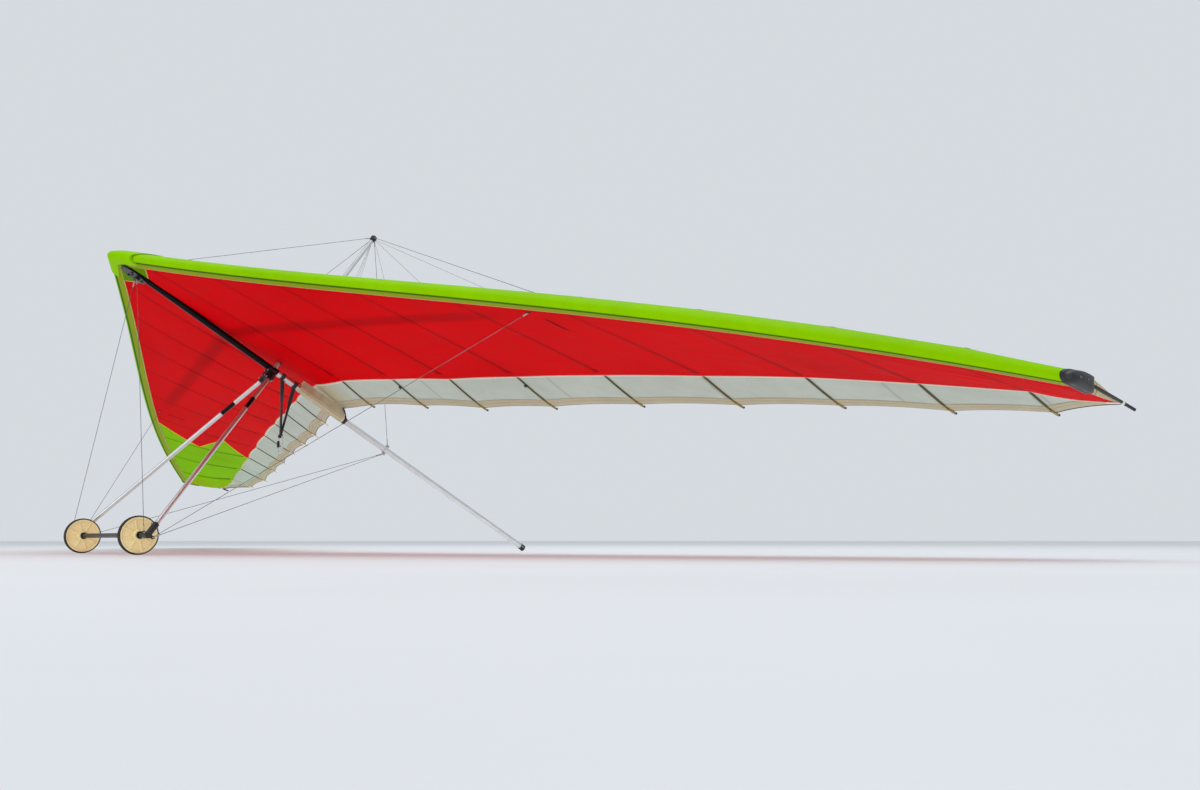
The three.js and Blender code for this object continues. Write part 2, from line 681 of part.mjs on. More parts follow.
// Pitch at which the tyres and the lower rim of the tail cap stand on one floor
const rise = -KEEL_RADIUS - TAIL_CAP.wall - CORNER.z;
const run = KEEL_LENGTH - CORNER.y;
const PITCH = Math.atan2(rise, run) + Math.asin(WHEEL.radius / Math.hypot(rise, run));

// Hang strap: two loops of webbing round the keel, sewn into one bight that hangs plumb
const plumb = v(0, Math.sin(PITCH), -Math.cos(PITCH));
const frontLoop = v(0, STRAP.frontY, 0);
const rearLoop = v(0, STRAP.rearY, 0);
const bight = frontLoop.clone().addScaledVector(plumb, STRAP.drop);
function hangStrap() {
  const inner = KEEL_RADIUS + STRAP.play;
  const outer = inner + STRAP.ringWall;
  const half = STRAP.width / 2;
  const rings = [STRAP.frontY, STRAP.rearY].map((y) => bar(v(0, y - half, 0), v(0, y + half, 0), outer, 24));
  const legs = [frontLoop, rearLoop].map((top) => {
    const axis = bight.clone().sub(top);
    const length = axis.length() - inner - BIGHT.bore - 1;
    const leg = new THREE.BoxGeometry(STRAP.width, length, 2 * STRAP.thick).translate(0, length / 2, 0);
    axis.normalize();
    const across = v(1, 0, 0);
    const basis = new THREE.Matrix4().makeBasis(across, axis, across.clone().cross(axis));
    const start = top.clone().addScaledVector(axis, inner + 0.5);
    return leg.applyMatrix4(basis).translate(start.x, start.y, start.z);
  });
  const eye = bar(bight.clone().setX(-half), bight.clone().setX(half), BIGHT.radius, 24);
  const keelBore = bar(v(0, STRAP.frontY - PAST, 0), v(0, STRAP.rearY + PAST, 0), inner, 24);
  const eyeBore = bar(bight.clone().setX(-PAST), bight.clone().setX(PAST), BIGHT.bore, 24);
  return geometryOf(cut(join(...rings, ...legs, eye), keelBore, eyeBore));
}
add("hang_strap", hangStrap(), WEBBING);

// Carabiner: a closed ring of round steel whose top bar lies in the strap's bight
function carabiner() {
  const { width, length, rod } = CARABINER;
  const [half, corner] = [width / 2, 12];
  const path = new THREE.Path();
  path.moveTo(-half + corner, 0);
  path.lineTo(half - corner, 0);
  path.quadraticCurveTo(half, 0, half, -corner);
  path.lineTo(half, -length + corner);
  path.quadraticCurveTo(half, -length, half - corner, -length);
  path.lineTo(-half + corner, -length);
  path.quadraticCurveTo(-half, -length, -half, -length + corner);
  path.lineTo(-half, -corner);
  path.quadraticCurveTo(-half, 0, -half + corner, 0);
  const points = path.getPoints(5).slice(0, -1);
  const down = plumb.clone().negate();
  const ring = points.map((p) => bight.clone().add(v(p.x, 0, 0)).addScaledVector(down, p.y));
  const curve = new THREE.CatmullRomCurve3(ring, true, "catmullrom", 0.1);
  return new THREE.TubeGeometry(curve, 56, rod, 12, true);
}
add("carabiner", carabiner(), STEEL);

// Parked: pitched nose-up about the span, then set on the floor over the middle of its box
const parked = new THREE.Group();
parked.add(glider);
glider.rotation.x = -PITCH;
parked.updateMatrixWorld(true);
const box = new THREE.Box3().setFromObject(parked, true);
const middle = box.getCenter(v());
glider.position.set(0, -middle.y, -box.min.z);

export default parked;
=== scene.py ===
import math

import bmesh
import bpy
import numpy as np
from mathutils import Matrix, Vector


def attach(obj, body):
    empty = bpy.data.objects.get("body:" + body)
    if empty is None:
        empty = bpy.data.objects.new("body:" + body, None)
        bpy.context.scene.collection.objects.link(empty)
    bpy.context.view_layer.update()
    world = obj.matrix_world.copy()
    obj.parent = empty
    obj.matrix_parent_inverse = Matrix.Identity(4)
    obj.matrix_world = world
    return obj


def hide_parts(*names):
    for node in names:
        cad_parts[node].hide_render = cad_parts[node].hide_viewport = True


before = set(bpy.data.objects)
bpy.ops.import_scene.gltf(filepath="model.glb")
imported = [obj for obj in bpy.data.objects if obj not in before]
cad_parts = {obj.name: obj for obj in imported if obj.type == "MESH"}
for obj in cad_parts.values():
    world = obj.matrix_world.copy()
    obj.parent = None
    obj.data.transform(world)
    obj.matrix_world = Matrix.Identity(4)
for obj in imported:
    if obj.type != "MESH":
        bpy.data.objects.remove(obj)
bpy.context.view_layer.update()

# Camera
# It stands at floor level, ahead of the left wing and outside it, and looks up at the sail's
# underside, so that the nose is at the left and the keel runs down to the right.
CAMERA_PLACE = Vector((7.19, -3.507, 0.08))
CAMERA_AIM = Vector((0.69, 1.771, 1.155))
CAMERA_ANGLE = math.radians(55.8)
CAMERA_REACH = 500.0
camera = bpy.data.objects.new("camera", bpy.data.cameras.new("camera"))
bpy.context.scene.collection.objects.link(camera)
bpy.context.scene.camera = camera
camera.location = CAMERA_PLACE
camera.rotation_euler = (CAMERA_AIM - CAMERA_PLACE).to_track_quat("-Z", "Y").to_euler()
camera.data.angle = CAMERA_ANGLE
camera.data.clip_end = CAMERA_REACH


# Floor and light
# A wide pale floor runs out to a pale backdrop. Big soft lamps stand overhead and in front, and
# one lies on the floor and faces up, as a bright ground does, so that the sail's underside is lit.
FLOOR_HALF = 150.0
MOST = (0.3, 0.7)  # where most of a noise's values lie


def fill(tree, node, inputs):
    """Gives a node's sockets their links or plain values."""
    for key, value in inputs.items():
        if isinstance(value, bpy.types.NodeSocket):
            tree.links.new(value, node.inputs[key])
        else:
            node.inputs[key].default_value = value


def put(tree, kind, inputs=None, **settings):
    """Adds a node with its settings, and fills its sockets."""
    node = tree.nodes.new(kind)
    for name, value in settings.items():
        setattr(node, name, value)
    fill(tree, node, inputs or {})
    return node


def tone(red, green, blue):
    """A colour given by its screen values from 0 to 255, as the shaders take it."""
    line = []
    for share in (red / 255, green / 255, blue / 255):
        line.append(share / 12.92 if share <= 0.04045 else ((share + 0.055) / 1.055) ** 2.4)
    return (*line, 1.0)


def blend_of(tree, share, first, second):
    """One colour passing into another by a share. A Mix node's colours are its sockets 6 and 7."""
    return put(tree, "ShaderNodeMix", {0: share, 6: first, 7: second}, data_type="RGBA").outputs[2]


def between(tree, value, low, high, start=0.0, end=1.0):
    """A value read from low to high, given out from start to end and held there."""
    return put(tree, "ShaderNodeMapRange", {0: value, 1: low, 2: high, 3: start, 4: end}).outputs[0]


def noise_of(tree, place, scale, detail=3.0, rough=0.55):
    """A noise read at a place."""
    inputs = {"Vector": place, "Scale": scale, "Detail": detail, "Roughness": rough}
    return put(tree, "ShaderNodeTexNoise", inputs).outputs[0]


def place_of(tree):
    """The place on the piece."""
    return put(tree, "ShaderNodeTexCoord").outputs["Object"]


def new_finish(name, rough=0.5, metal=0.0):
    """An empty finish: its material, its tree and its main shader."""
    material = bpy.data.materials.new(name)
    material.use_nodes = True
    tree = material.node_tree
    shader = tree.nodes["Principled BSDF"]
    fill(tree, shader, {"Roughness": rough, "Metallic": metal})
    return material, tree, shader


def shown(name, mesh, material=None):
    """A mesh set in the scene as a piece with smooth faces."""
    piece = bpy.data.objects.new(name, mesh)
    bpy.context.scene.collection.objects.link(piece)
    mesh.name = name
    if material is not None:
        mesh.materials.clear()
        mesh.materials.append(material)
    mesh.polygons.foreach_set("use_smooth", [True] * len(mesh.polygons))
    return piece


def mesh_of(name, points, faces, edges=()):
    """A mesh from points, in metres, and faces or edges."""
    mesh = bpy.data.meshes.new(name)
    mesh.from_pydata([tuple(map(float, p)) for p in points], list(edges), list(faces))
    mesh.update()
    return mesh


floor_finish, tree, shader = new_finish("studio_floor", rough=0.6)
clouds = noise_of(tree, place_of(tree), 0.6, 4.0)
pale = blend_of(tree, between(tree, clouds, 0.35, 0.65), tone(225, 227, 229), tone(228, 230, 232))
fill(tree, shader, {"Base Color": pale, "Roughness": between(tree, clouds, *MOST, 0.7, 0.74)})
corners = [(x * FLOOR_HALF, y * FLOOR_HALF, 0) for x, y in ((-1, -1), (1, -1), (1, 1), (-1, 1))]
floor = shown("studio_floor", mesh_of("studio_floor", corners, [(0, 1, 2, 3)]), floor_finish)

world = bpy.data.worlds.new("studio")
world.use_nodes = True
fill(world.node_tree, world.node_tree.nodes["Background"], {"Color": tone(224, 229, 235), "Strength": 0.9})
bpy.context.scene.world = world
bpy.context.scene.view_settings.view_transform = "Standard"
bpy.context.scene.view_settings.look = "None"

LAMPS = [
    # name, place, aim, width, height, watts
    ("overhead", (1.0, 1.5, 11.0), (0.0, 0.0, 1.0), 14.0, 10.0, 520.0),
    ("front_high", (3.0, -15.0, 6.5), (0.5, 0.0, 1.0), 12.0, 6.0, 420.0),
    ("ground_glow", (0.0, 0.2, 0.01), (0.0, 0.2, 9.0), 12.0, 8.0, 95.0),
]
for name, place, aim, width, height, watts in LAMPS:
    lamp = bpy.data.objects.new(name, bpy.data.lights.new(name, "AREA"))
    bpy.context.scene.collection.objects.link(lamp)
    lamp.data.shape = "RECTANGLE"
    lamp.data.size = width
    lamp.data.size_y = height
    lamp.data.energy = watts
    lamp.location = place
    lamp.rotation_euler = (Vector(aim) - Vector(place)).to_track_quat("-Z", "Y").to_euler()
    lamp.visible_camera = False


# Keel
# A round alloy tube that the whole glider hangs on. From the nose to the control frame it is painted
# black as the shade that the sail casts on it, and it is bright behind. It stands on a black moulded
# cap at its rear end.
KEEL_RADIUS = 21.0
KEEL_END = 3470.0
KEEL_SHADE_TO = 1132.0
FOOT_LENGTH = 40.0
FOOT_SEAT = 15.0  # how far short of the foot's end the tube stops inside it
FOOT = [(0, 21.5), (1, 23), (8, 23), (9, 22.4), (12, 22.4), (13, 23), (39.6, 23), (40, 22.6)]
SHARP_ANGLE = math.radians(38)

# The glider is worked out level, in millimetres: x towards the left tip, y aft from the keel's
# front end, z up. It is then pitched nose-up and moved until its tyres and its keel's foot stand
# on the floor.
PITCH = math.radians(30.067718)
SHIFT = np.array([0.0, -1430.962, 1758.456])
COS, SIN = math.cos(PITCH), math.sin(PITCH)


def pitched(points):
    """Points or directions of the level glider, turned nose-up."""
    x, y, z = np.moveaxis(np.asarray(points, float), -1, 0)
    return np.stack([x, y * COS + z * SIN, z * COS - y * SIN], -1)


KEEL_AXIS = Vector(pitched((0, 1, 0)))


def parked(points):
    """Points of the level glider brought to where it stands, in metres."""
    return (pitched(points) + SHIFT) / 1000


def leaned(direction):
    """A direction of the level glider as it points when parked."""
    return Vector(pitched(direction)).normalized()


def math_of(tree, kind, *terms):
    """A Math node's result."""
    return put(tree, "ShaderNodeMath", dict(enumerate(terms)), operation=kind).outputs[0]


def times(tree, first, second):
    """Two values multiplied."""
    return math_of(tree, "MULTIPLY", first, second)


def bump_of(tree, height, strength, depth):
    """The way that a surface faces, where a height raises it by up to a depth in metres."""
    return put(tree, "ShaderNodeBump", {"Strength": strength, "Distance": depth, "Height": height}).outputs[0]


def tube_finish(name, colour, edge, axis, rough, metal, bands=()):
    """Drawn tube: streaks along its axis, handling marks, and black bands over some lengths.

    A band is given by the places on the level glider where it starts and ends.
    """
    stretch, band_edge = 0.97, 0.001  # how far the streaks are drawn out, and how soft a sleeve ends
    material, tree, shader = new_finish(name, rough, metal)
    place = place_of(tree)
    along = put(tree, "ShaderNodeVectorMath", {0: place, 1: axis}, operation="DOT_PRODUCT").outputs["Value"]
    pull = times(tree, along, -stretch)
    back = put(tree, "ShaderNodeVectorMath", {0: axis, "Scale": pull}, operation="SCALE").outputs[0]
    across = put(tree, "ShaderNodeVectorMath", {0: place, 1: back}, operation="ADD").outputs[0]
    streaks = noise_of(tree, across, 260.0, 3.0, 0.6)
    wear = between(tree, noise_of(tree, place, 22.0, 4.0, 0.6), 0.56, 0.72)
    tint = blend_of(tree, between(tree, streaks, *MOST), colour, edge)
    tint = blend_of(tree, times(tree, wear, 0.14), tint, tone(150, 146, 138))
    for ends in bands:
        low, high = (Vector(parked(end)).dot(axis) for end in ends)
        begun = between(tree, along, low, low + band_edge)
        inside = times(tree, begun, between(tree, along, high - band_edge, high, 1.0, 0.0))
        tint = blend_of(tree, inside, tint, tone(20, 21, 23))
    level = between(tree, streaks, *MOST, rough - 0.04, rough + 0.04)
    level = math_of(tree, "ADD", level, times(tree, wear, 0.08))
    bump = bump_of(tree, streaks, 0.07, 0.0006)
    fill(tree, shader, {"Base Color": tint, "Roughness": level, "Normal": bump})
    return material


def plastic_finish(name, colour, wear_and_fold_light, rough=0.45, grain=900.0):
    """Moulded plastic: fine spark grain, paler rubbed patches and a little dust."""
    material, tree, shader = new_finish(name, rough)
    place = place_of(tree)
    patches = noise_of(tree, place, 35.0, 4.0, 0.6)
    tint = blend_of(tree, between(tree, patches, 0.5, 0.75), colour, wear_and_fold_light)
    level = between(tree, patches, *MOST, rough - 0.08, rough + 0.14)
    bump = bump_of(tree, noise_of(tree, place, grain, 2.0, 0.5), 0.25, 0.0004)
    fill(tree, shader, {"Base Color": tint, "Roughness": level, "Normal": bump})
    return material


def turn_outwards(mesh):
    """Turns a closed mesh's faces outwards."""
    body = bmesh.new()
    body.from_mesh(mesh)
    bmesh.ops.recalc_face_normals(body, faces=body.faces)
    body.to_mesh(mesh)
    body.free()


def wrapped(rows, count, whole=False):
    """Faces round rows of points. The last row joins the first if whole, or else both ends close."""
    faces = []
    for row in range(rows if whole else rows - 1):
        near, far = row * count, (row + 1) % rows * count
        for k in range(count):
            beside = (k + 1) % count
            faces.append((near + k, near + beside, far + beside, far + k))
    if not whole:
        faces += [tuple(range(count)), tuple(range((rows - 1) * count, rows * count))]
    return faces


def turned(start, end, profile, sides=48):
    """Points and faces of a solid turned about the line from start to end.

    profile gives, in millimetres, how far each ring lies from the start, and its radius.
    """
    start, end = np.asarray(start, float), np.asarray(end, float)
    way = (end - start) / np.linalg.norm(end - start)
    first = np.cross(way, np.eye(3)[np.argmin(np.abs(way))])
    first /= np.linalg.norm(first)
    angles = np.linspace(0, 2 * math.pi, sides, endpoint=False)[:, None]
    ring = np.cos(angles) * first + np.sin(angles) * np.cross(way, first)
    points = np.concatenate([start + way * far + ring * radius for far, radius in profile])
    return points, wrapped(len(profile), sides)


def plain_tube(start, end, radius, break_edge=0.8):
    """A turned tube with its two end edges broken."""
    length = np.linalg.norm(np.asarray(end, float) - np.asarray(start, float))
    low = radius - break_edge
    return turned(start, end, [(0, low), (break_edge, radius), (length - break_edge, radius), (length, low)])


def joined(bodies):
    """The points and faces of several bodies, as one list of each."""
    points, faces = [], []
    for some, corners in bodies:
        first = len(points)
        points += list(some)
        faces += [tuple(i + first for i in face) for face in corners]
    return np.array(points), faces


def fit(piece, slot, *nodes, body="airframe"):
    """Fixes a piece to its body, and hides the CAD nodes that it stands for."""
    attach(piece, body)
    if nodes:
        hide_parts(*nodes)
    return piece


def made(name, bodies, material, slot, *nodes):
    """One piece of the airframe from closed bodies of the level glider."""
    points, faces = joined(bodies)
    mesh = mesh_of(name, parked(points), faces)
    turn_outwards(mesh)
    piece = shown(name, mesh, material)
    mesh.set_sharp_from_angle(angle=SHARP_ANGLE)
    return fit(piece, slot, *nodes)


BRIGHT = (tone(188, 190, 190), tone(214, 216, 215))
# Painted shade: the keel is black from the nose to the control frame, where the sail shades it.
keel_shade = ((0, -10, 0), (0, KEEL_SHADE_TO, 0))
keel_finish = tube_finish("keel_alloy", *BRIGHT, KEEL_AXIS, 0.34, 0.9, [keel_shade])
keel_bar = plain_tube((0, 0, 0), (0, KEEL_END - FOOT_SEAT, 0), KEEL_RADIUS)
made("keel", [keel_bar], keel_finish, "alloy", "keel_tube")
black_plastic = plastic_finish("black_moulding", tone(20, 20, 22), tone(52, 52, 54))
foot = turned((0, KEEL_END - FOOT_LENGTH, 0), (0, KEEL_END, 0), FOOT)
made("keel_foot", [foot], black_plastic, "black_plastic", "keel_end_cap")


# Nose plate, brackets, kingpost and its cap
# Machined and pressed alloy plates and black sleeves join the tubes. The kingpost is a bright
# tube that stands on the keel through the sail, with a moulded cap for the upper wires.
TUBE_RADIUS = 14.0
KING_FOOT = np.array([0.0, 1100.0, 22.6])
KING_TOP = np.array([0.0, 1200.0, 1220.0])
KING_CAP = [(0.3, 15.2), (1, 16), (7, 21.2), (9, 22), (16, 22), (17, 21)]
KING_CAP += [(20, 21), (21, 22), (34, 22), (37, 21), (44, 13.5), (46, 11)]
DARK = (tone(20, 21, 23), tone(38, 40, 43))


def dress(node, material):
    """Gives one CAD node its finish."""
    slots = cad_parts[node].data.materials
    for i in range(len(slots)):
        slots[i] = material
    if not len(slots):
        slots.append(material)


plate_finish = tube_finish("plate_alloy", *BRIGHT, Vector((1, 0, 0)), 0.38, 0.9)
dark_alloy = tube_finish("dark_alloy", *DARK, Vector((1, 0, 0)), 0.42, 0.5)
dress("nose_plate", dark_alloy)
dress("rear_wire_tang", plate_finish)
dress("apex_bracket", dark_alloy)
king_way = (KING_TOP - KING_FOOT) / np.linalg.norm(KING_TOP - KING_FOOT)
king_axis = leaned(king_way)
king_finish = tube_finish("kingpost_alloy", *BRIGHT, king_axis, 0.33, 0.9)
made("kingpost_tube", [plain_tube(KING_FOOT, KING_TOP, TUBE_RADIUS)], king_finish, "alloy", "kingpost")
king_cap = turned(KING_TOP, KING_TOP + king_way, KING_CAP)
made("kingpost_head", [king_cap], black_plastic, "black_plastic", "kingpost_cap")


# Control frame
# Two bright downtubes run to a black base bar, and meet it in black moulded corner brackets.
# Each bracket has a cross web with an eye for the wires at either end.
CORNER = np.array([725.0, 789.0, -1448.0])  # where a downtube meets the base bar
APEX = np.array([45.0, 1090.0, -58.0])  # a downtube's upper end
SIDES = (("left", 1.0), ("right", -1.0))
BAR_END = 700.0
COLLARS = (520.0, 594.0)  # where the two collars beside a wheel begin
COLLAR = [(0, TUBE_RADIUS), (0, 20.2), (0.8, 21.0), (11.2, 21.0), (12, 20.2), (12, TUBE_RADIUS)]
DOWNTUBE_BAND = (0.165, 0.235)  # where the black band on each downtube starts and ends, as shares of it
DOWNTUBE_SEAT = 34.0  # how far above the corner a downtube ends inside its sleeve
SLEEVE_UP = 92.0  # the bracket's reach up the downtube
SLEEVE_IN = 62.0  # and along the base bar, inwards and outwards
SLEEVE_OUT = 22.0
SLEEVE_MOUTH = [(0, 17.6), (1, 18.9), (6, 18.9), (7, 18.2)]
SLEEVE_END = [(76, 18.2), (77, 18.9), (82, 18.9), (83.4, 17.5), (84, 15)]
WEB_ROUND = 8.5  # radius of the web's two round ends
WEB_REACH = 27.0
WEB_THICK = 10.0
EYE_X = 737.0
EYE_OFF = 28.0
EYE_HALF = 6.0
EYE = [(0, 8.6), (1.2, 9.8), (10.8, 9.8), (12, 8.6)]


def lofted(rings):
    """Points and faces of a solid through rings of equal counts, with both ends closed."""
    return rings.reshape(-1, 3), wrapped(*rings.shape[:2])


def slab(outline, middle, along, across, half, broken=1.2):
    """Points and faces of a plate with the given outline and broken edges."""
    flat = np.asarray(outline, float)
    out = flat - flat.mean(0)
    less = flat - out / np.linalg.norm(out, axis=1)[:, None] * broken
    along, across = np.asarray(along, float), np.asarray(across, float)
    thick = np.cross(along, across)
    rings = []
    for far, line in ((-half, less), (broken - half, flat), (half - broken, flat), (half, less)):
        rings.append(middle + line[:, :1] * along + line[:, 1:] * across + thick * far)
    return lofted(np.array(rings))


half_bar = [(0.0, TUBE_RADIUS)]
for start in COLLARS:
    half_bar += [(start + far, radius) for far, radius in COLLAR]
half_bar.append((BAR_END, TUBE_RADIUS))
whole_bar = [(BAR_END - far, radius) for far, radius in half_bar[::-1]]
whole_bar += [(BAR_END + far, radius) for far, radius in half_bar[1:]]
bar_start = CORNER * (0, 1, 1) - (BAR_END, 0, 0)
made("base_tube", [turned(bar_start, bar_start + (1, 0, 0), whole_bar)], dark_alloy, "dark_alloy", "base_bar")

up = (APEX - CORNER) / np.linalg.norm(APEX - CORNER)
turn = np.radians(np.linspace(0, 360, 32, endpoint=False))
web = np.stack([np.cos(turn) * WEB_ROUND + np.sign(np.cos(turn)) * WEB_REACH, np.sin(turn) * WEB_ROUND], -1)
for name, side in SIDES:
    flip = np.array([side, 1.0, 1.0])
    run = (CORNER - APEX) * flip
    black_band = [APEX * flip + run * share for share in DOWNTUBE_BAND]
    finish = tube_finish(f"downtube_alloy_{name}", *BRIGHT, leaned(run), 0.33, 0.9, [black_band])
    tube = plain_tube(APEX * flip, (CORNER + up * DOWNTUBE_SEAT) * flip, TUBE_RADIUS)
    made(f"downtube_tube_{name}", [tube], finish, "alloy", f"downtube_{name}")
    inner, outer = (CORNER - (SLEEVE_IN, 0, 0)) * flip, (CORNER + (SLEEVE_OUT, 0, 0)) * flip
    web_middle = CORNER * (0, 1, 1) + ((EYE_X - 1) * side, 0, 0)
    bodies = [
        turned(inner, outer, SLEEVE_MOUTH + SLEEVE_END),
        turned((CORNER + up * SLEEVE_UP) * flip, CORNER * flip, SLEEVE_MOUTH + [(SLEEVE_UP, 18.2)]),
        slab(web, web_middle, (0, 1, 0), (0, 0, 1), WEB_THICK / 2),
    ]
    for way in (-1, 1):
        eye = np.array([(EYE_X - EYE_HALF) * side, CORNER[1] + EYE_OFF * way, CORNER[2]])
        bodies.append(turned(eye, eye + (2 * EYE_HALF * side, 0, 0), EYE))
    made(f"corner_fitting_{name}", bodies, black_plastic, "black_plastic", f"corner_bracket_{name}")


# Stays
# Thin steel wires, laid from seven strands, run from the corners to nose, tail and wings, and
# from the kingpost down to the sail. Each end is pressed into a bright ferrule.
WIRE_RADIUS = 1.5
WIRE_SIDES = 12
THIMBLE = 17.0  # length of the eye that each wire ends in
THIMBLE_WIDTH = 9.0
FERRULE_SIDES = 20
BOOT_SIDES = 16
FERRULE = [(14, 2.4), (15, 3.7), (20, 3.9), (21, 3.2), (24, 3.2), (25, 3.9)]
FERRULE += [(30, 3.9), (31, 3.2), (34, 3.2), (35, 3.9), (39, 3.7), (40, 2.4)]
BOOT = [(40, 2.3), (41, 2.6), (49, 2.4), (50, 1.8)]


def own_value(tree, name):
    """A value that the piece's points carry."""
    return put(tree, "ShaderNodeAttribute", attribute_name=name).outputs["Fac"]


def wire_finish(name):
    """Laid steel wire: strands that catch the light in turn along it."""
    material, tree, shader = new_finish(name, 0.32, 0.8)
    turns = math_of(tree, "SINE", times(tree, own_value(tree, "along"), 1.4))
    grime = noise_of(tree, place_of(tree), 14.0, 3.0)
    tint = blend_of(tree, between(tree, grime, 0.4, 0.7), tone(112, 114, 117), tone(70, 70, 70))
    level = between(tree, grime, *MOST, 0.26, 0.44)
    fill(tree, shader, {"Base Color": tint, "Roughness": level, "Normal": bump_of(tree, turns, 0.4, 0.0004)})
    return material


def levelled(points):
    """Points of the parked glider, in metres, as those of the level one, in millimetres."""
    x, y, z = (np.asarray(points, float) * 1000 - SHIFT).T
    return np.stack([x, y * COS - z * SIN, y * SIN + z * COS], -1)


def hoop(start, way, flat, long, wide, wire):
    """Points and faces of a pear-shaped eye of round wire that begins at a point and runs one way."""
    turn = np.radians(np.linspace(0, 360, 28, endpoint=False))[:, None]
    taper = 1.1 - 0.35 * (1 - np.cos(turn))
    line = start + way * long / 2 - way * np.cos(turn) * long / 2 + flat * np.sin(turn) * wide / 2 * taper
    ahead = np.roll(line, -1, 0) - np.roll(line, 1, 0)
    ahead /= np.linalg.norm(ahead, axis=1)[:, None]
    thick = np.cross(way, flat)
    beside = np.cross(ahead, thick)
    around = np.radians(np.linspace(0, 360, 10, endpoint=False))
    points = []
    for middle, out in zip(line, beside):
        points += [middle + wire * (math.cos(a) * out + math.sin(a) * thick) for a in around]
    return np.array(points), wrapped(len(line), len(around), whole=True)


wire_nodes = [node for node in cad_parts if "_wire" in node and "tang" not in node]
wires, fittings, boots, runs = [], [], [], []
for node in wire_nodes:
    points = levelled([vertex.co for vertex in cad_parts[node].data.vertices])
    middle = points.mean(0)
    way = np.linalg.svd(points - middle, full_matrices=False)[2][0]
    far = (points - middle) @ way
    ends = (middle + way * far.min(), middle + way * far.max())
    steps = np.linspace(THIMBLE, far.max() - far.min() - THIMBLE, 3)
    wires.append(turned(*ends, [(step, WIRE_RADIUS) for step in steps], WIRE_SIDES))
    runs += list(np.repeat(steps, WIRE_SIDES))
    flat = np.cross(way, (1.0, 0, 0))
    flat /= np.linalg.norm(flat)
    for end, inward in zip(ends, (way, -way)):
        fittings.append(hoop(end, inward, flat, THIMBLE, THIMBLE_WIDTH, WIRE_RADIUS))
        fittings.append(turned(end, end + inward, FERRULE, FERRULE_SIDES))
        boots.append(turned(end, end + inward, BOOT, BOOT_SIDES))
stays = made("stay_wires", wires, wire_finish("laid_steel"), "steel", *wire_nodes)
stays.data.attributes.new("along", "FLOAT", "POINT").data.foreach_set("value", runs)
ferrule_tones = (tone(150, 150, 148), tone(196, 196, 192))
made("stay_ferrules", fittings, tube_finish("ferrule_alloy", *ferrule_tones, KEEL_AXIS, 0.3, 0.9), "steel")
made("stay_sleeves", boots, black_plastic, "black_plastic")


# Upper skin
# The sail is woven polyester cloth over two leading edge tubes and nine battens a side. Its upper
# skin is white, in panels sewn along the chord, and shows from below behind the undersurface. Its
# rule comes first, and each other skin follows the same rule.
ROOT_X = 0.15
TIP_X = 4950.0
BATTENS = np.array([251.0, 732, 1216, 1742, 2352, 2957, 3522, 4075, 4563])
BATTEN_X = np.array([ROOT_X, *BATTENS, TIP_X])
REAR_Y = np.array([1660, 1723, 1861, 2015, 2160, 2320, 2501, 2655, 2805, 2880, 2741])
REAR_Z = np.array([72, 118, 152, 185, 237, 294, 344, 383, 393, 383, 292])
UNDER = np.array([0.857, 0.85, 0.83, 0.81, 0.795, 0.785, 0.77, 0.755, 0.735, 0.74, 0.97])
NOSE_Y = -152.0
SWEEP = (508.3, -39.2, 7.5)  # how far the front edge runs back, by powers of the metres of span
DIHEDRAL = (6.8, 4.2)  # how far it rises, likewise
NOSE_DEPTH = 35.0
NOSE_DROP = 26.0
SCALLOP = (22.0, 3.0)  # how far the rear edge draws in and down between two battens
CAMBER = 0.095
BELLY = 9.0
SAG = 6.0  # how far the upper skin lies lower between two battens
SKIN_GAP = 2.0  # from the upper skin down to the undersurface's rear edge
KEEL_TUNNEL = 25.0  # height over the keel's middle that the undersurface clears
TUNNEL_HALF = 14.0
TUNNEL_SLOPE = 0.8
TUNNEL_MOST = 60.0
TUNNEL_FROM = -60.0
TUNNEL_EASE = 50.0
BESIDE = [-30, -14, -7, 0, 7, 14]  # columns of points beside a batten, clear of the even ones
BESIDE_PAST = 22.0
CLEAR = 38.0
AT_ROOT = [8, 16, 26, 38, 52, 70, 95, 130, 170]


def down(values):
    """Values for the rows of a grid."""
    return np.array(values, float)[:, None]


def bay(x):
    """How far between its two battens a place is, 0 at either and 1 midway, and which bay it is in."""
    i = np.clip(np.searchsorted(BATTEN_X, x, side="right") - 1, 0, len(BATTENS))
    share = np.clip((x - BATTEN_X[i]) / (BATTEN_X[i + 1] - BATTEN_X[i]), 0, 1)
    return 4 * share * (1 - share), i


def rib(x):
    """Front, run to the rear edge, chord and undersurface share of the ribs at x."""
    arch, i = bay(x)
    drawn = np.where(i > 0, arch, 0.0)
    s = x / 1000
    front_y = NOSE_Y + SWEEP[0] * s + SWEEP[1] * s**2 + SWEEP[2] * s**3
    front = np.stack([front_y, DIHEDRAL[0] * s + DIHEDRAL[1] * s**2])
    rear_y = np.interp(x, BATTEN_X, REAR_Y) - SCALLOP[0] * drawn
    rear_z = np.interp(x, BATTEN_X, REAR_Z) - SCALLOP[1] * drawn
    run = np.stack([rear_y, rear_z]) - front
    return front, run, np.hypot(*run), np.interp(x, BATTEN_X, UNDER)


def rise(t, chord):
    """Height of the camber line at share t of the chord, highest at about a third."""
    ahead, behind = 0.7, 1.5
    peak = ahead / (ahead + behind)
    t = np.clip(t, 0, 1)
    return CAMBER * chord * t**ahead * (1 - t) ** behind / (peak**ahead * (1 - peak) ** behind)


def top_height(x, t, chord):
    """Height of the upper skin over the chord line: its camber, less the sag between battens.

    The sag starts a tenth of the chord behind the front, and ends as a quarter of itself.
    """
    arch, _ = bay(x)
    return rise(t, chord) - SAG * arch * np.clip(t * 6 - 0.6, 0, 1) * np.clip((1 - t) * 8, 0.25, 1)


def off_chord(x, t, height):
    """Points at share t of the chord, at a height square to it."""
    front, run, chord, _ = rib(x)
    y = front[0] + run[0] * t - height * run[1] / chord
    z = front[1] + run[1] * t + height * run[0] / chord
    return np.stack([x + 0 * t, y, z], -1)


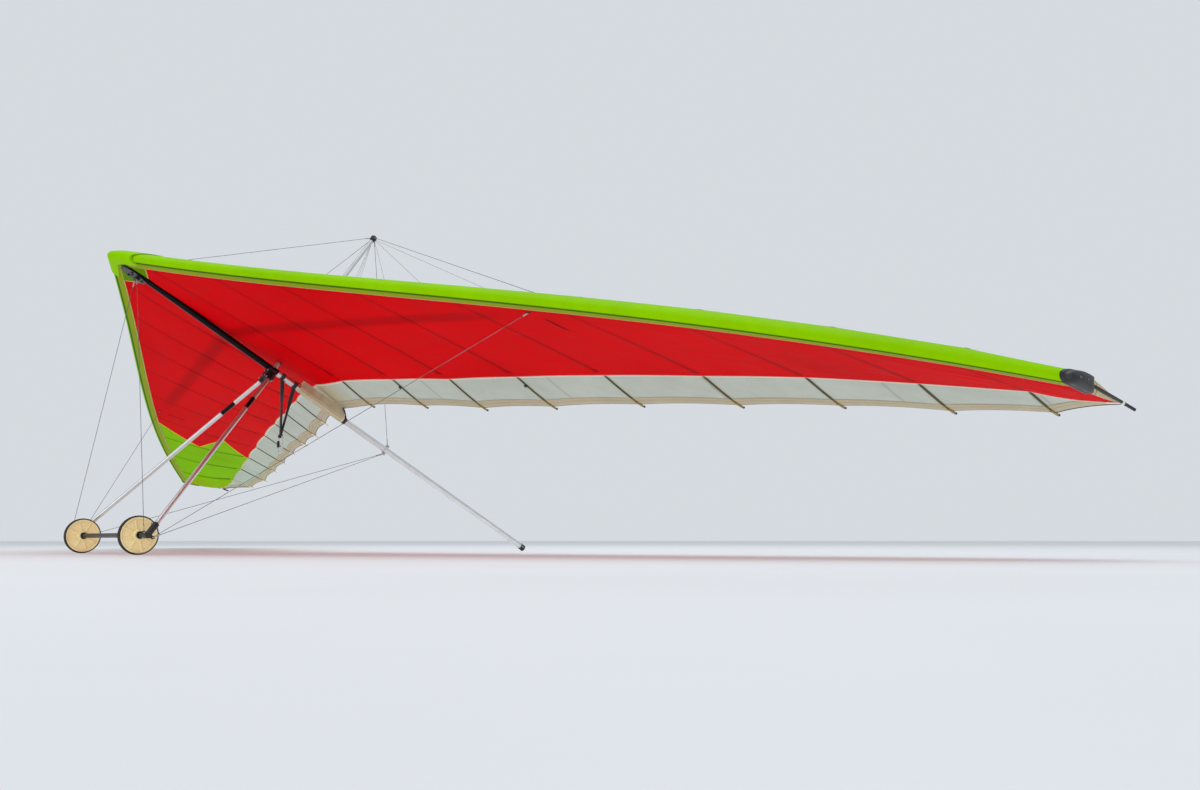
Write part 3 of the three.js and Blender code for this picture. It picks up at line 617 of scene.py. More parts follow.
def upper(x, t, lift=0.0):
    """Points of the upper skin at share t of the chord, lifted off it by a few millimetres."""
    return off_chord(x, t, top_height(x, t, rib(x)[2]) + lift)


def lower(x, t, drop=0.0):
    """Points of the undersurface at share t of the chord, which clears the keel at the middle."""
    _, _, chord, under = rib(x)
    d = t * chord
    nose = -NOSE_DROP * np.sqrt(np.clip(1 - (1 - np.clip(d / NOSE_DEPTH, 0, 1)) ** 2, 0, 1))
    share = (d - NOSE_DEPTH) / (under * chord - NOSE_DEPTH)
    rear = top_height(x, under + 0 * t, chord) - SKIN_GAP
    body = -NOSE_DROP + share * (rear + NOSE_DROP) - 4 * BELLY * share * (1 - share)
    points = off_chord(x, t, np.where(d < NOSE_DEPTH, nose, body) - drop)
    y, z = points[..., 1], points[..., 2]
    tunnel = KEEL_TUNNEL - np.maximum(np.abs(x) - TUNNEL_HALF, 0) * TUNNEL_SLOPE
    raised = np.maximum(z, np.minimum(tunnel, z + TUNNEL_MOST))
    eased = np.clip((y - TUNNEL_FROM) / TUNNEL_EASE, 0, 1)
    points[..., 2] = np.where(share < 1, z + (raised - z) * eased, z)
    return points


def columns(step=45.0, past=0.0):
    """Places along the span: close together at each batten and a little past it, even between."""
    beside = np.array([*BESIDE, *np.arange(BESIDE_PAST, BESIDE_PAST + 9 + past, 8)])
    close = (BATTENS[:, None] + beside).ravel()
    bays = zip(BATTEN_X[:-1], BATTEN_X[1:])
    even = np.concatenate([np.linspace(a, b, max(3, int((b - a) / step)) + 1)[1:-1] for a, b in bays])
    off = even[:, None] - BATTENS
    even = even[np.all((off < -CLEAR) | (off > CLEAR + past), axis=1)]
    return np.unique([*close, *even, ROOT_X, *AT_ROOT, TIP_X])


def mark_cloth(mesh, marks):
    """Gives each point of a mesh its place on the flat cloth, in metres."""
    corners = np.empty(len(mesh.loops), int)
    mesh.loops.foreach_get("vertex_index", corners)
    mesh.uv_layers.new(name="cloth").data.foreach_set("uv", np.asarray(marks)[corners].ravel())


def patchwork(name, patches, side, up, material):
    """One sheet that faces up or down on one side's wing, from some grids of points.

    A patch gives its points, and their places on the flat cloth along the span and the chord.
    """
    points, quads, marks = [], [], []
    for grid, span, chord in patches:
        index = len(points) + np.arange(grid[..., 0].size).reshape(grid.shape[:2])
        corners = np.stack([index[:-1, :-1], index[:-1, 1:], index[1:, 1:], index[1:, :-1]], -1)
        quads += corners.reshape(-1, 4).tolist()
        points += list(grid.reshape(-1, 3))
        places = [np.broadcast_to(part, index.shape) / 1000 for part in (span, chord)]
        marks += list(np.stack(places, -1).reshape(-1, 2))
    if (side > 0) != up:
        quads = [quad[::-1] for quad in quads]
    mesh = mesh_of(name, parked(np.array(points) * (side, 1, 1)), quads)
    mark_cloth(mesh, marks)
    return shown(name, mesh, material)


def cloth(name, grid, span, chord, side, up, material, shade=None):
    """A sheet from one grid of points, with how dark each is painted."""
    piece = patchwork(name, [(grid, span, chord)], side, up, material)
    if shade is not None:
        shade = np.broadcast_to(shade, grid.shape[:2]).ravel()
        piece.data.attributes.new("shade", "FLOAT", "POINT").data.foreach_set("value", shade)
    return piece


def sailcloth(name, paint, rough=0.55, glow=0.3):
    """Woven sailcloth: fine ripstop weave, crinkles, and light that comes through from behind.

    paint takes the tree, the place along the span, the place along the chord and the shade.
    """
    material, tree, shader = new_finish(name, rough)
    place = put(tree, "ShaderNodeUVMap", uv_map="cloth").outputs[0]
    span, chord, _ = put(tree, "ShaderNodeSeparateXYZ", {0: place}).outputs
    crinkle = noise_of(tree, place, 9.0, 5.0, 0.62)
    broad = noise_of(tree, place, 1.3, 3.0, 0.5)
    uneven = between(tree, crinkle, 0.35, 0.7, 0.95, 1.04)
    level = times(tree, between(tree, broad, *MOST, 1.0, 0.9), uneven)
    painted = paint(tree, span, chord, own_value(tree, "shade"))
    colour = put(tree, "ShaderNodeHueSaturation", {"Value": level, "Color": painted}).outputs[0]
    threads = {"Vector": place, "Scale": 80.0, "Distortion": 0.0}
    warp, weft = (put(tree, "ShaderNodeTexWave", threads, bands_direction=way).outputs[1] for way in "XY")
    weave = times(tree, math_of(tree, "MAXIMUM", warp, weft), 0.08)
    bump = bump_of(tree, math_of(tree, "ADD", crinkle, weave), 0.35, 0.006)
    gloss = between(tree, crinkle, *MOST, rough - 0.07, rough + 0.09)
    front = {"Base Color": colour, "Roughness": gloss, "Normal": bump, "Specular IOR Level": 0.012}
    fill(tree, shader, front)
    behind = put(tree, "ShaderNodeBsdfTranslucent", {"Color": colour, "Normal": bump})
    both = put(tree, "ShaderNodeMixShader", {0: glow, 1: shader.outputs[0], 2: behind.outputs[0]})
    fill(tree, tree.nodes["Material Output"], {"Surface": both.outputs[0]})
    return material


def darker(tree, colour, shade, deep):
    """A painted colour where battens and spars shadow it from inside: the same hue, dimmed."""
    dim = put(tree, "ShaderNodeHueSaturation", {"Value": 0.22, "Saturation": 1.05, "Color": colour})
    return blend_of(tree, times(tree, shade, deep), colour, dim.outputs[0])


def stripe(tree, value, middle, half, soft):
    """1 within half of the middle, and 0 beyond."""
    off = math_of(tree, "ABSOLUTE", math_of(tree, "SUBTRACT", value, middle))
    return between(tree, off, half, half + soft, 1.0, 0.0)


PANELS = (0.98, 1.96, 2.94, 3.9, 4.6)  # seams, by metres of span
TOP_FROM = 140.0  # its front edge, hidden under the leading edge pocket
SHADE_HALF = 15.0  # a batten's shade on the cloth, and how much of it is soft
SHADE_SOFT = 7.0
SHADE_DEEP = 0.5
STRIP_SOFT = 8.0
# The rear strip is the same white cloth, painted greyer as it looks in shade from below.
SHADED_STRIP_WHITE = tone(188, 198, 186)
TOP_WHITE = tone(232, 234, 230)


def white_paint(tree, span, chord, shade):
    """White cloth with painted shade on the rear strip and along each batten, panel seams and a beige patch
    at the root.
    """
    colour = blend_of(tree, own_value(tree, "behind"), TOP_WHITE, SHADED_STRIP_WHITE)
    for place in PANELS:
        overlap = times(tree, stripe(tree, span, place, 0.011, 0.002), 0.4)
        colour = blend_of(tree, overlap, colour, tone(168, 168, 158))
        seam = times(tree, stripe(tree, span, place, 0.0005, 0.0015), 0.5)
        colour = blend_of(tree, seam, colour, tone(120, 118, 106))
    root = times(tree, between(tree, span, 0.06, 0.2, 1.0, 0.0), between(tree, chord, 1.5, 1.56))
    colour = blend_of(tree, times(tree, root, 0.75), colour, tone(188, 176, 138))
    return darker(tree, colour, shade, 0.35)


SPAN = columns()
_, _, CHORD, UNDER_AT = rib(SPAN)
BACK = down([*np.linspace(0, 0.5, 26)[:-1], *np.linspace(0.5, 1.0, 26)])
white_cloth = sailcloth("white_sailcloth", white_paint, 0.5, 0.18)
for name, side in SIDES:
    start = TOP_FROM / CHORD
    t = start + (1 - start) * BACK
    grid = upper(SPAN, t)
    off_batten = np.min(np.abs(SPAN - BATTENS[:, None]), axis=0)
    shade = np.clip((SHADE_HALF - off_batten) / SHADE_SOFT, 0, 1) * SHADE_DEEP
    skin = cloth(f"upper_skin_{name}", grid, SPAN, t * CHORD, side, True, white_cloth, shade)
    # Points behind the undersurface's rear edge take the rear strip's painted shade.
    behind = np.clip((t - UNDER_AT) * CHORD / STRIP_SOFT + 1, 0, 1)
    skin.data.attributes.new("behind", "FLOAT", "POINT").data.foreach_set("value", behind.ravel())
    fit(skin, "white", f"trailing_panel_{name}")


# Undersurface
# Red cloth, sewn to the leading edge pocket in front and to the upper skin behind. On the right
# wing it ends in a lime tip with a zigzag seam, and under the nose it has a lime gusset.
RED = tone(236, 0, 12)
LIME = tone(150, 216, 0)
UNDER_FROM = 84.0
ZIGZAG = ((0.017, 3.015), (0.427, 3.551), (0.702, 3.041), (0.891, 3.548))  # along the chord and the span
ZIGZAG_FROM = 3.0  # the span that the seam's ramp starts at, and how much of it the ramp covers
ZIGZAG_REACH = 0.6
GUSSET = 3.4  # one over the metres of span and chord that its slanting edge cuts off
ZIP_SPAN = 2.755
ZIP_CHORD = 0.285
ZIP_HALF = 0.068
SHADOW_OFF = 36.0  # how far out a batten's shadow falls where the two skins lie furthest apart
SPAR_FROM = (300.0, 780.0)  # a place on the crossbar along span and keel, and its slope
SPAR_SLOPE = 420 / 2150
SPAR_END = 2620.0
SPAR_SHADOW = (62.0, 36.0, 0.42)  # half its width, how much of that is soft, and how dark it is
SPAR_FADE = 400.0
BATTEN_SHADOW = (26.0, 20.0)  # half its width, and how much of that is soft
TIP_SHADOW_FROM = 3400.0
DARK_PATCH = (3760.0, 0.55, 170.0, 230.0, 0.2)  # a darker patch: its place by span and share of chord, sizes and depth
FOLDS = 26
FOLD_X = (200, 4900)
FOLD_D = (120, 1300)
FOLD_LONG = (180, 420)
FOLD_WIDE = (26, 60)
FOLD_HIGH = 1.6
FOLD_OUTER = 3800.0  # folds further out slant more and are twice as high


def lime_tip(tree, span, chord, colour):
    """Lime beyond the zigzag seam, with yellow-brown painted light on the crumpled cloth at the very tip."""
    bend = put(tree, "ShaderNodeValToRGB", {0: chord})
    ramp = bend.color_ramp
    while len(ramp.elements) < len(ZIGZAG):
        ramp.elements.new(0.5)
    for stop, (d, x) in zip(ramp.elements, ZIGZAG):
        stop.position = d
        stop.color = (*[(x - ZIGZAG_FROM) / ZIGZAG_REACH] * 3, 1.0)
    edge = math_of(tree, "MULTIPLY_ADD", bend.outputs[0], ZIGZAG_REACH, ZIGZAG_FROM)
    past = math_of(tree, "SUBTRACT", span, edge)
    colour = blend_of(tree, between(tree, past, -0.001, 0.001), colour, LIME)
    colour = blend_of(tree, stripe(tree, past, 0.0, 0.011, 0.002), colour, tone(242, 226, 60))
    # Painted light on crumpled folds: blotches of yellow-brown near the very tip.
    blotch = noise_of(tree, put(tree, "ShaderNodeCombineXYZ", {0: span, 1: chord}).outputs[0], 11.0, 4.0)
    wear_and_fold_light = times(tree, between(tree, span, 4.58, 4.92), between(tree, blotch, 0.38, 0.6))
    return blend_of(tree, times(tree, wear_and_fold_light, 0.8), colour, tone(190, 172, 16))


def zip_strip(tree, span, chord, half, edge, more, soft):
    """1 on a strip along the zip, and 0 beyond."""
    across = stripe(tree, span, ZIP_SPAN, half, edge)
    return times(tree, across, stripe(tree, chord, ZIP_CHORD, ZIP_HALF + more, soft))


def under_paint(lime):
    """Red cloth with a short zip and a lime gusset at the nose, and on one wing the lime tip."""

    def paint(tree, span, chord, shade):
        colour = lime_tip(tree, span, chord, RED) if lime else RED
        tape = zip_strip(tree, span, chord, 0.014, 0.001, 0.008, 0.001)
        colour = blend_of(tree, times(tree, tape, 0.3), colour, tone(96, 8, 14))
        slit = zip_strip(tree, span, chord, 0.005, 0.002, 0.0, 0.004)
        colour = blend_of(tree, times(tree, slit, 0.85), colour, tone(52, 10, 12))
        corner = times(tree, math_of(tree, "ADD", span, chord), GUSSET)
        colour = blend_of(tree, between(tree, corner, 0.995, 1.005, 1.0, 0.0), colour, tone(112, 158, 4))
        colour = blend_of(tree, stripe(tree, corner, 1.0, 0.012, 0.006), colour, tone(206, 208, 96))
        return darker(tree, colour, shade, 0.8)

    return paint


def under_shade(x, t, chord, lime):
    """Painted shadows of the battens and of the crossbar inside the double surface, and one darker patch."""
    d = t * chord
    front, _, _, under = rib(x)
    share = (d - UNDER_FROM) / (under * chord - UNDER_FROM)
    bowed = x - SHADOW_OFF * 4 * share * (1 - share)
    near = np.min(np.abs(bowed - BATTENS[:, None, None]), axis=0)
    end = np.clip((0.955 - share) * 60, 0, 1)
    blob = np.clip((share - 0.90) * 40, 0, 1) * 0.35
    half, soft = BATTEN_SHADOW
    lines = np.clip((half - near) / soft, 0, 1) * end * (0.3 + 0.45 * share + blob)
    if lime:
        lines = np.where(x > TIP_SHADOW_FROM, lines * 1.25 + 0.1 * (lines > 0), lines)
    off_spar = np.abs(front[0] + d - (SPAR_FROM[1] + (x - SPAR_FROM[0]) * SPAR_SLOPE))
    half, soft, deep = SPAR_SHADOW
    spar = np.clip((half - off_spar) / soft, 0, 1) * deep * np.clip((SPAR_END - x) / SPAR_FADE, 0, 1)
    at_x, at_share, long, wide, deep = DARK_PATCH
    blotch = deep * np.exp(-(((x - at_x) / long) ** 2) - ((d - at_share * chord) / wide) ** 2)
    return np.clip(lines + spar + blotch, 0, 1)


def wrinkles(x, d, seed):
    """Height of the cloth's soft folds in millimetres, slanting and higher towards the tip."""
    rng = np.random.default_rng(seed)
    height = np.zeros(np.broadcast(x, d).shape)
    for _ in range(FOLDS):
        cx, cd = rng.uniform(*FOLD_X), rng.uniform(*FOLD_D)
        turn = rng.uniform(-0.5, 0.5) + (0.9 if cx > FOLD_OUTER else 0.0)
        long, wide = rng.uniform(*FOLD_LONG), rng.uniform(*FOLD_WIDE)
        u = (x - cx) * math.cos(turn) + (d - cd) * math.sin(turn)
        w = -(x - cx) * math.sin(turn) + (d - cd) * math.cos(turn)
        high = rng.uniform(-FOLD_HIGH, FOLD_HIGH) * (2 if cx > FOLD_OUTER else 1)
        height += high * np.exp(-((u / long) ** 2) - (w / wide) ** 2) * np.cos(w / wide * 1.6)
    return height


fine_span = columns(24.0, SHADOW_OFF)
_, _, fine_chord, fine_under = rib(fine_span)
fore = down([0.0, 0.004, 0.012, *np.linspace(0.024, 0.976, 50), 0.988, 0.996, 1.0])
under_cloths = {
    "left": sailcloth("red_sailcloth", under_paint(False), 0.52, 0.3),
    "right": sailcloth("red_and_lime_sailcloth", under_paint(True), 0.52, 0.3),
}
for name, side in SIDES:
    start = UNDER_FROM / fine_chord
    t = start + (fine_under - start) * fore
    d = t * fine_chord
    loose = np.clip(fore * 8, 0, 1) * np.clip((1 - fore) * 8, 0, 1) * np.clip(fine_span / 150 - 0.4, 0, 1)
    grid = lower(fine_span, t, wrinkles(fine_span, d, 7 + int(side)) * loose)
    shade = under_shade(fine_span, t, fine_chord, name == "right")
    skin = cloth(f"undersurface_{name}", grid, fine_span, d, side, False, under_cloths[name], shade)
    fit(skin, "red", f"wing_panel_{name}")


# Leading edge pocket
# A lime sleeve of heavier cloth with a plastic insert that keeps its nose round. It carries
# the leading edge tube, and both skins are sewn to its rear edges.
POCKET_TOP = [-158, -154, -146, -125, -100, -75, -52, -35, -24, -15, -8, -3.5, -0.8, 0]
POCKET_UNDER = [0.8, 3, 7, 12, 19, 27, 38, 52, 66, 80, 88, 92]
POCKET_PROUD = 1.2  # how far it lies off the skins, reached 8 mm from the nose


def lime_paint(tree, span, chord, shade):
    """Lime cloth with a dark green line of painted shadow below its nose and pale thread along both seams."""
    colour = blend_of(tree, between(tree, chord, 0.036, 0.044), LIME, tone(150, 166, 22))
    # A line of painted shadow below the pocket's nose.
    colour = blend_of(tree, stripe(tree, chord, 0.031, 0.006, 0.006), colour, tone(58, 112, 2))
    above, below = stripe(tree, chord, -0.150, 0.004, 0.001), stripe(tree, chord, 0.087, 0.003, 0.001)
    return blend_of(tree, math_of(tree, "MAXIMUM", above, below), colour, tone(176, 176, 70))


lime_cloth = sailcloth("lime_sailcloth", lime_paint, 0.42, 0.12)
for name, side in SIDES:
    around = down(POCKET_TOP + POCKET_UNDER)
    t = np.abs(around) / CHORD
    proud = np.clip(np.abs(around) / 8, 0, 1) * POCKET_PROUD
    grid = np.where(around[..., None] < 0, upper(SPAN, t, proud), lower(SPAN, t, proud))
    pocket = cloth(f"leading_edge_pocket_{name}", grid, SPAN, around, side, True, lime_cloth)
    fit(pocket, "lime", f"leading_edge_{name}")


# Trailing edge
# A tan reinforcing tape is folded round the rear edge and sewn through, over a dark cord. A pale
# tape covers the seam where the undersurface meets the upper skin.
HEM = [-78, -62, -40, -20, -8, -2, 0, 2, 8, 20, 40, 43, 46, 62, 78]
HEM_CREASE = 43.0
HEM_THICK = 0.9
CREASE_THICK = 0.8
SEAM_TAPE = {"back": [-4, 0, 4, 9, 15], "lift": [-2.8, -2.4, -1.8, -1.4, -0.8]}


def hem_paint(tree, span, chord, shade):
    """White above in painted shade, tan below, the cord at the fold, painted shade in the crease, and
    stitching.
    """
    colour = blend_of(tree, between(tree, chord, -0.002, 0.002), SHADED_STRIP_WHITE, tone(206, 198, 170))
    colour = blend_of(tree, stripe(tree, chord, 0.0, 0.004, 0.001), colour, tone(52, 50, 46))
    # The line at the crease is painted shade; the one near the tape's inner edge is stitching.
    inner, outer = stripe(tree, chord, 0.043, 0.001, 0.003), stripe(tree, chord, 0.075, 0.001, 0.002)
    crease = times(tree, math_of(tree, "MAXIMUM", inner, outer), 0.3)
    return blend_of(tree, crease, colour, tone(128, 112, 76))


def seam_paint(lime):
    """A pale tape with a thin coloured edge, both lime-tinted beyond the zigzag on one wing."""

    def paint(tree, span, chord, shade):
        body, edge = tone(238, 232, 216), tone(196, 60, 58)
        if lime:
            past = between(tree, span, 3.5, 3.56)
            body = blend_of(tree, past, body, tone(208, 214, 128))
            edge = blend_of(tree, past, edge, tone(120, 150, 20))
        return blend_of(tree, stripe(tree, chord, 0.0, 0.0008, 0.0008), body, edge)

    return paint


hem_cloth = sailcloth("hem_tape", hem_paint, 0.5, 0.2)
seam_cloths = {
    "left": sailcloth("seam_tape_red", seam_paint(False), 0.5, 0.12),
    "right": sailcloth("seam_tape_lime", seam_paint(True), 0.5, 0.12),
}
on_sail = {"left": [], "right": []}
for name, side in SIDES:
    around = down(HEM)
    crease = np.abs(around - HEM_CREASE) < 2
    thick = np.clip(np.abs(around) / 3, 0, 1) * HEM_THICK + crease * CREASE_THICK
    grid = upper(SPAN, 1 - np.abs(around) / CHORD, np.where(around < 0, thick, -thick))
    hem = cloth(f"trailing_hem_{name}", grid, SPAN, around, side, False, hem_cloth, 0.0)
    back = down(SEAM_TAPE["back"])
    grid = upper(SPAN, UNDER_AT + back / CHORD, down(SEAM_TAPE["lift"]))
    tape = cloth(f"rear_seam_tape_{name}", grid, SPAN, back, side, False, seam_cloths[name], 0.0)
    on_sail[name] += [fit(hem, "white"), fit(tape, "white")]


# Battens
# Each batten is an alloy rod in a sewn pocket. Its pocket shows as a welt on the upper skin, and
# under the rear strip as a welt painted dark with the batten's shade through the cloth. A moulded tip
# sticks out past the rear edge, painted ochre in shade on the left wing and cream in sun on the right.
POCKET_SIZE = (13.0, 3.6)  # half width and height
WELT_SIZE = (7.5, 5.0)
POCKET_FROM = 150.0
WELT_FROM = 4.0  # behind the undersurface's rear edge
STRIP_TO = 6.0  # before the sail's rear edge
STRIP_OFF = 0.4
TIP_BEFORE = 40.0
TIP_PAST = 32.0
TIP_RADIUS = 5.6
STOP_LONG = 9.0
STOP_PROUD = 0.6
KNOT_IN = 14.0  # from a tip's end to the knot of its string
STRING_RADIUS = 1.1
STRING_HOLE = 12.0
STRING_OFF = 13.0  # from a batten to either hole of its string
KNOB_BATTENS = (732.0, 1742.0)
KNOB = [(0, 8.5), (2, 8.5), (3, 10), (9, 10), (12, 8), (13, 4)]


def new_tree(name, inputs):
    """A Geometry Nodes tree with named inputs, and the sockets that bring them in."""
    tree = bpy.data.node_groups.new(name, "GeometryNodeTree")
    for socket, kind in inputs.items():
        tree.interface.new_socket(socket, in_out="INPUT", socket_type=kind)
    tree.interface.new_socket("Piece", in_out="OUTPUT", socket_type="NodeSocketGeometry")
    return tree, tree.nodes.new("NodeGroupInput").outputs


def close_tree(tree, given, shape):
    """Ends a tree: its instances are made real and take the finish."""
    real = put(tree, "GeometryNodeRealizeInstances", {"Geometry": shape.outputs[0]})
    dressed = put(tree, "GeometryNodeSetMaterial", {"Geometry": real.outputs[0], "Material": given["Finish"]})
    put(tree, "NodeGroupOutput", {"Piece": dressed.outputs[0]})
    return tree


GEOMETRY, NUMBER, COUNT, FINISH = (f"NodeSocket{kind}" for kind in ("Geometry", "Float", "Int", "Material"))


def swept_tree():
    """A round cord or rod swept along the path that it is given."""
    inputs = {"Path": GEOMETRY, "Radius": NUMBER, "Sides": COUNT, "Finish": FINISH}
    tree, given = new_tree("swept_rod", inputs)
    path = put(tree, "GeometryNodeMeshToCurve", {"Mesh": given["Path"]})
    size = {"Resolution": given["Sides"], "Radius": given["Radius"]}
    ring = put(tree, "GeometryNodeCurvePrimitiveCircle", size)
    sweep = {"Curve": path.outputs[0], "Profile Curve": ring.outputs[0], "Fill Caps": True}
    return close_tree(tree, given, put(tree, "GeometryNodeCurveToMesh", sweep))


def grown(name, mesh, tree, sizes, slot, *nodes, body="airframe"):
    """Grows a piece from a path or points by a tree, and leaves a plain mesh."""
    start = bpy.data.objects.new(name + "_path", mesh)
    bpy.context.scene.collection.objects.link(start)
    modifier = start.modifiers.new("grow", "NODES")
    modifier.node_group = tree
    for socket in tree.interface.items_tree:
        if socket.in_out == "INPUT" and socket.name in sizes:
            modifier[socket.identifier] = sizes[socket.name]
    graph = bpy.context.evaluated_depsgraph_get()
    result = bpy.data.meshes.new_from_object(start.evaluated_get(graph))
    bpy.data.objects.remove(start)
    return fit(shown(name, result), slot, *nodes, body=body)


def paths(lines):
    """One mesh of open lines, each a list of points in metres."""
    points, edges = [], []
    for line in lines:
        first = len(points)
        points += list(line)
        edges += [(i, i + 1) for i in range(first, len(points) - 1)]
    return mesh_of("paths", points, [], edges)


SWEPT = swept_tree()


def rods(name, lines, radius, sides, material, slot, *nodes):
    """Round rods or cords of a radius in millimetres, one along each line."""
    sizes = {"Radius": radius / 1000, "Sides": sides, "Finish": material}
    return grown(name, paths(lines), SWEPT, sizes, slot, *nodes)


def mirrored(points, side):
    """Points of the left wing as those of one side's wing, parked."""
    return parked(np.asarray(points, float) * (side, 1, 1))


def pocket_paint(tree, span, chord, shade):
    """Plain pale cloth."""
    return tone(196, 199, 192)


def welt_paint(on_hem, last=None):
    """Painted shade of the batten through the cloth, another colour over the hem, and on one wing a third at
    the last batten.
    """

    def paint(tree, span, chord, shade):
        colour = blend_of(tree, between(tree, chord, 0.07, 0.084), on_hem, tone(104, 96, 66))
        return blend_of(tree, between(tree, span, 4.3, 4.31), colour, last or colour)

    return paint


def strips(name, side, shares, half, high, above, material, slot):
    """Raised strips that run along the chord, one at each batten over its shares of the chord."""
    across = np.array([-1, -0.85, -0.5, 0, 0.5, 0.85, 1.0])
    lift = high * np.sqrt(np.clip(1 - across**2, 0, 1)) + STRIP_OFF
    patches = []
    for middle, share in zip(BATTENS, shares):
        grid = upper(middle + half * across, down(share), lift if above else -lift - 1.0)
        patches.append((grid, middle + half * across, (1 - down(share)) * rib(middle)[2]))
    return fit(patchwork(name, patches, side, above, material), slot)


top_pocket = sailcloth("batten_pocket_cloth", pocket_paint, 0.5, 0.15)
# Painted light: the welts over the hem are olive in shade on the left wing and brown in sun on the right.
welts = {
    "left": sailcloth("batten_welt_olive", welt_paint(tone(128, 110, 58)), 0.6, 0.08),
    "right": sailcloth("batten_welt_brown", welt_paint(tone(164, 124, 72), tone(222, 208, 172)), 0.6, 0.05),
}
# Painted light: the same moulded tips, ochre in shade on the left wing and cream in sun on the right.
tip_finish = {
    "left": plastic_finish("batten_tip_ochre", tone(150, 132, 70), tone(186, 170, 120), 0.4),
    "right": plastic_finish("batten_tip_cream", tone(236, 226, 204), tone(206, 190, 156), 0.4),
}
stop_finish = {"left": (black_plastic, "black_plastic"), "right": (tip_finish["right"], "cream_plastic")}
cord_finish = plastic_finish("leech_cord", tone(66, 66, 62), tone(110, 108, 100), 0.7, 2500.0)
_, _, batten_chord, batten_under = rib(BATTENS)
long = [np.linspace(POCKET_FROM / c, 1 - STRIP_TO / c, 40) for c in batten_chord]
short = [np.linspace(u + WELT_FROM / c, 1 - STRIP_TO / c, 12) for u, c in zip(batten_under, batten_chord)]
for name, side in SIDES:
    above = strips(f"batten_pockets_{name}", side, long, *POCKET_SIZE, True, top_pocket, "white")
    below = strips(f"batten_welts_{name}", side, short, *WELT_SIZE, False, welts[name], "black_plastic")
    tips, stops, strings = [], [], []
    for x, c in zip(BATTENS, batten_chord):
        end = upper(x, 1.0, -3.0)
        start = upper(x, 1 - TIP_BEFORE / c, -6.5)
        run = (end - start) / np.linalg.norm(end - start)
        out = end + run * (TIP_PAST - 1.5)
        tips.append(mirrored([start, end, out - run * STOP_LONG], side))
        stops.append(mirrored([out - run * (STOP_LONG + 0.5), out], side))
        knot = end + run * (TIP_PAST - KNOT_IN)
        for off in (-STRING_OFF, STRING_OFF):
            hole = upper(x + off, 1 - STRING_HOLE / c, -2.6)
            strings.append(mirrored([knot + (0, 0, -6.0), knot + (off * 0.4, -1, -4.5), hole], side))
    tip = rods(f"batten_tips_{name}", tips, TIP_RADIUS, 14, tip_finish[name], "cream_plastic")
    stop = rods(f"batten_ends_{name}", stops, TIP_RADIUS + STOP_PROUD, 14, *stop_finish[name])
    string = rods(f"batten_strings_{name}", strings, STRING_RADIUS, 6, cord_finish, "webbing")
    if name == "left":
        bodies = []
        for x in KNOB_BATTENS:
            place = rib(x)[3] * 0.75 + 0.25
            bodies.append(turned(upper(x, place, -4.0), upper(x, place, -17.0), KNOB, 20))
        on_sail[name].append(made("batten_knobs_left", bodies, black_plastic, "black_plastic"))
    on_sail[name] += [above, below, tip, stop, string]


# Wing tips
# A black moulded cap closes the leading edge, and a rib of pale cloth the sail behind it. A bowed
# black wand spreads the tip, and a white tab ties the sail's corner to it.
CAP_FORE = np.array([*np.linspace(0.42, 0.06, 12), 0.03, 0.012, 0.004])
CAP_REACH = np.array([-18, -17, -7, -5.5, 0, 6, 12, 18, 23, 27, 30, 32, 33.2, 34])
CAP_PROUD = [3.4, 4.4, 4.4, 2.2] + [1.8] * 10
CAP_CLOSES = 35.2  # how far out the drawn-in sections would come to a point
WAND_OUT = np.array([7.3, 0, 0])
WAND_RADIUS = 7.0
WAND_SHARES = (0.38, 0.98)  # where it starts and ends on the tip's chord
WAND_BOW = np.array([4.0, 0, -2.0])
TAB_SHARE = 0.955
TAB_RING = [(0, 7.6), (0.6, 8.2), (17.4, 8.2), (18, 7.6)]
TAB_HALF = 9.0
TAB_ENDS = ((0, 0, 4), (0, 0, -4), (-62, -14, -5), (-62, -14, -3))
RIB_PUFF = 8.0
ROPE_RADIUS = {"left": 3.0, "right": 6.0}
ROPE_ENDS = (4575.0, 4948.0)


def rib_paint(tree, span, chord, shade):
    """Pale cloth with one seam across it."""
    return blend_of(tree, stripe(tree, chord, 0.5, 0.004, 0.002), tone(222, 212, 172), tone(150, 140, 104))


def tip_middle(share):
    """The middle of the tip's section at a share of its chord."""
    return (upper(TIP_X, share) + lower(TIP_X, share)) / 2


def cap_rings():
    """Sections of the moulded cap, drawn in towards its end, with a lip over the pocket."""
    rings = []
    for far, off, size in zip(CAP_REACH, CAP_PROUD, 1 - (np.clip(CAP_REACH, 0, None) / CAP_CLOSES) ** 3):
        x = TIP_X + min(far, 0)
        top, under = upper(x, CAP_FORE, off), lower(x, CAP_FORE[::-1], off)
        line = np.concatenate([top, [lower(x, 0.0, off)], under])
        ahead = np.clip(1 - np.concatenate([CAP_FORE, [0], CAP_FORE[::-1]]) * 12, 0, 1)
        line[:, 1] -= ahead * (off - 1.2)
        middle = line.mean(0)
        line = middle + (line - middle) * math.sqrt(size)
        line[:, 0] = TIP_X + far
        rings.append(line)
    return np.array(rings)


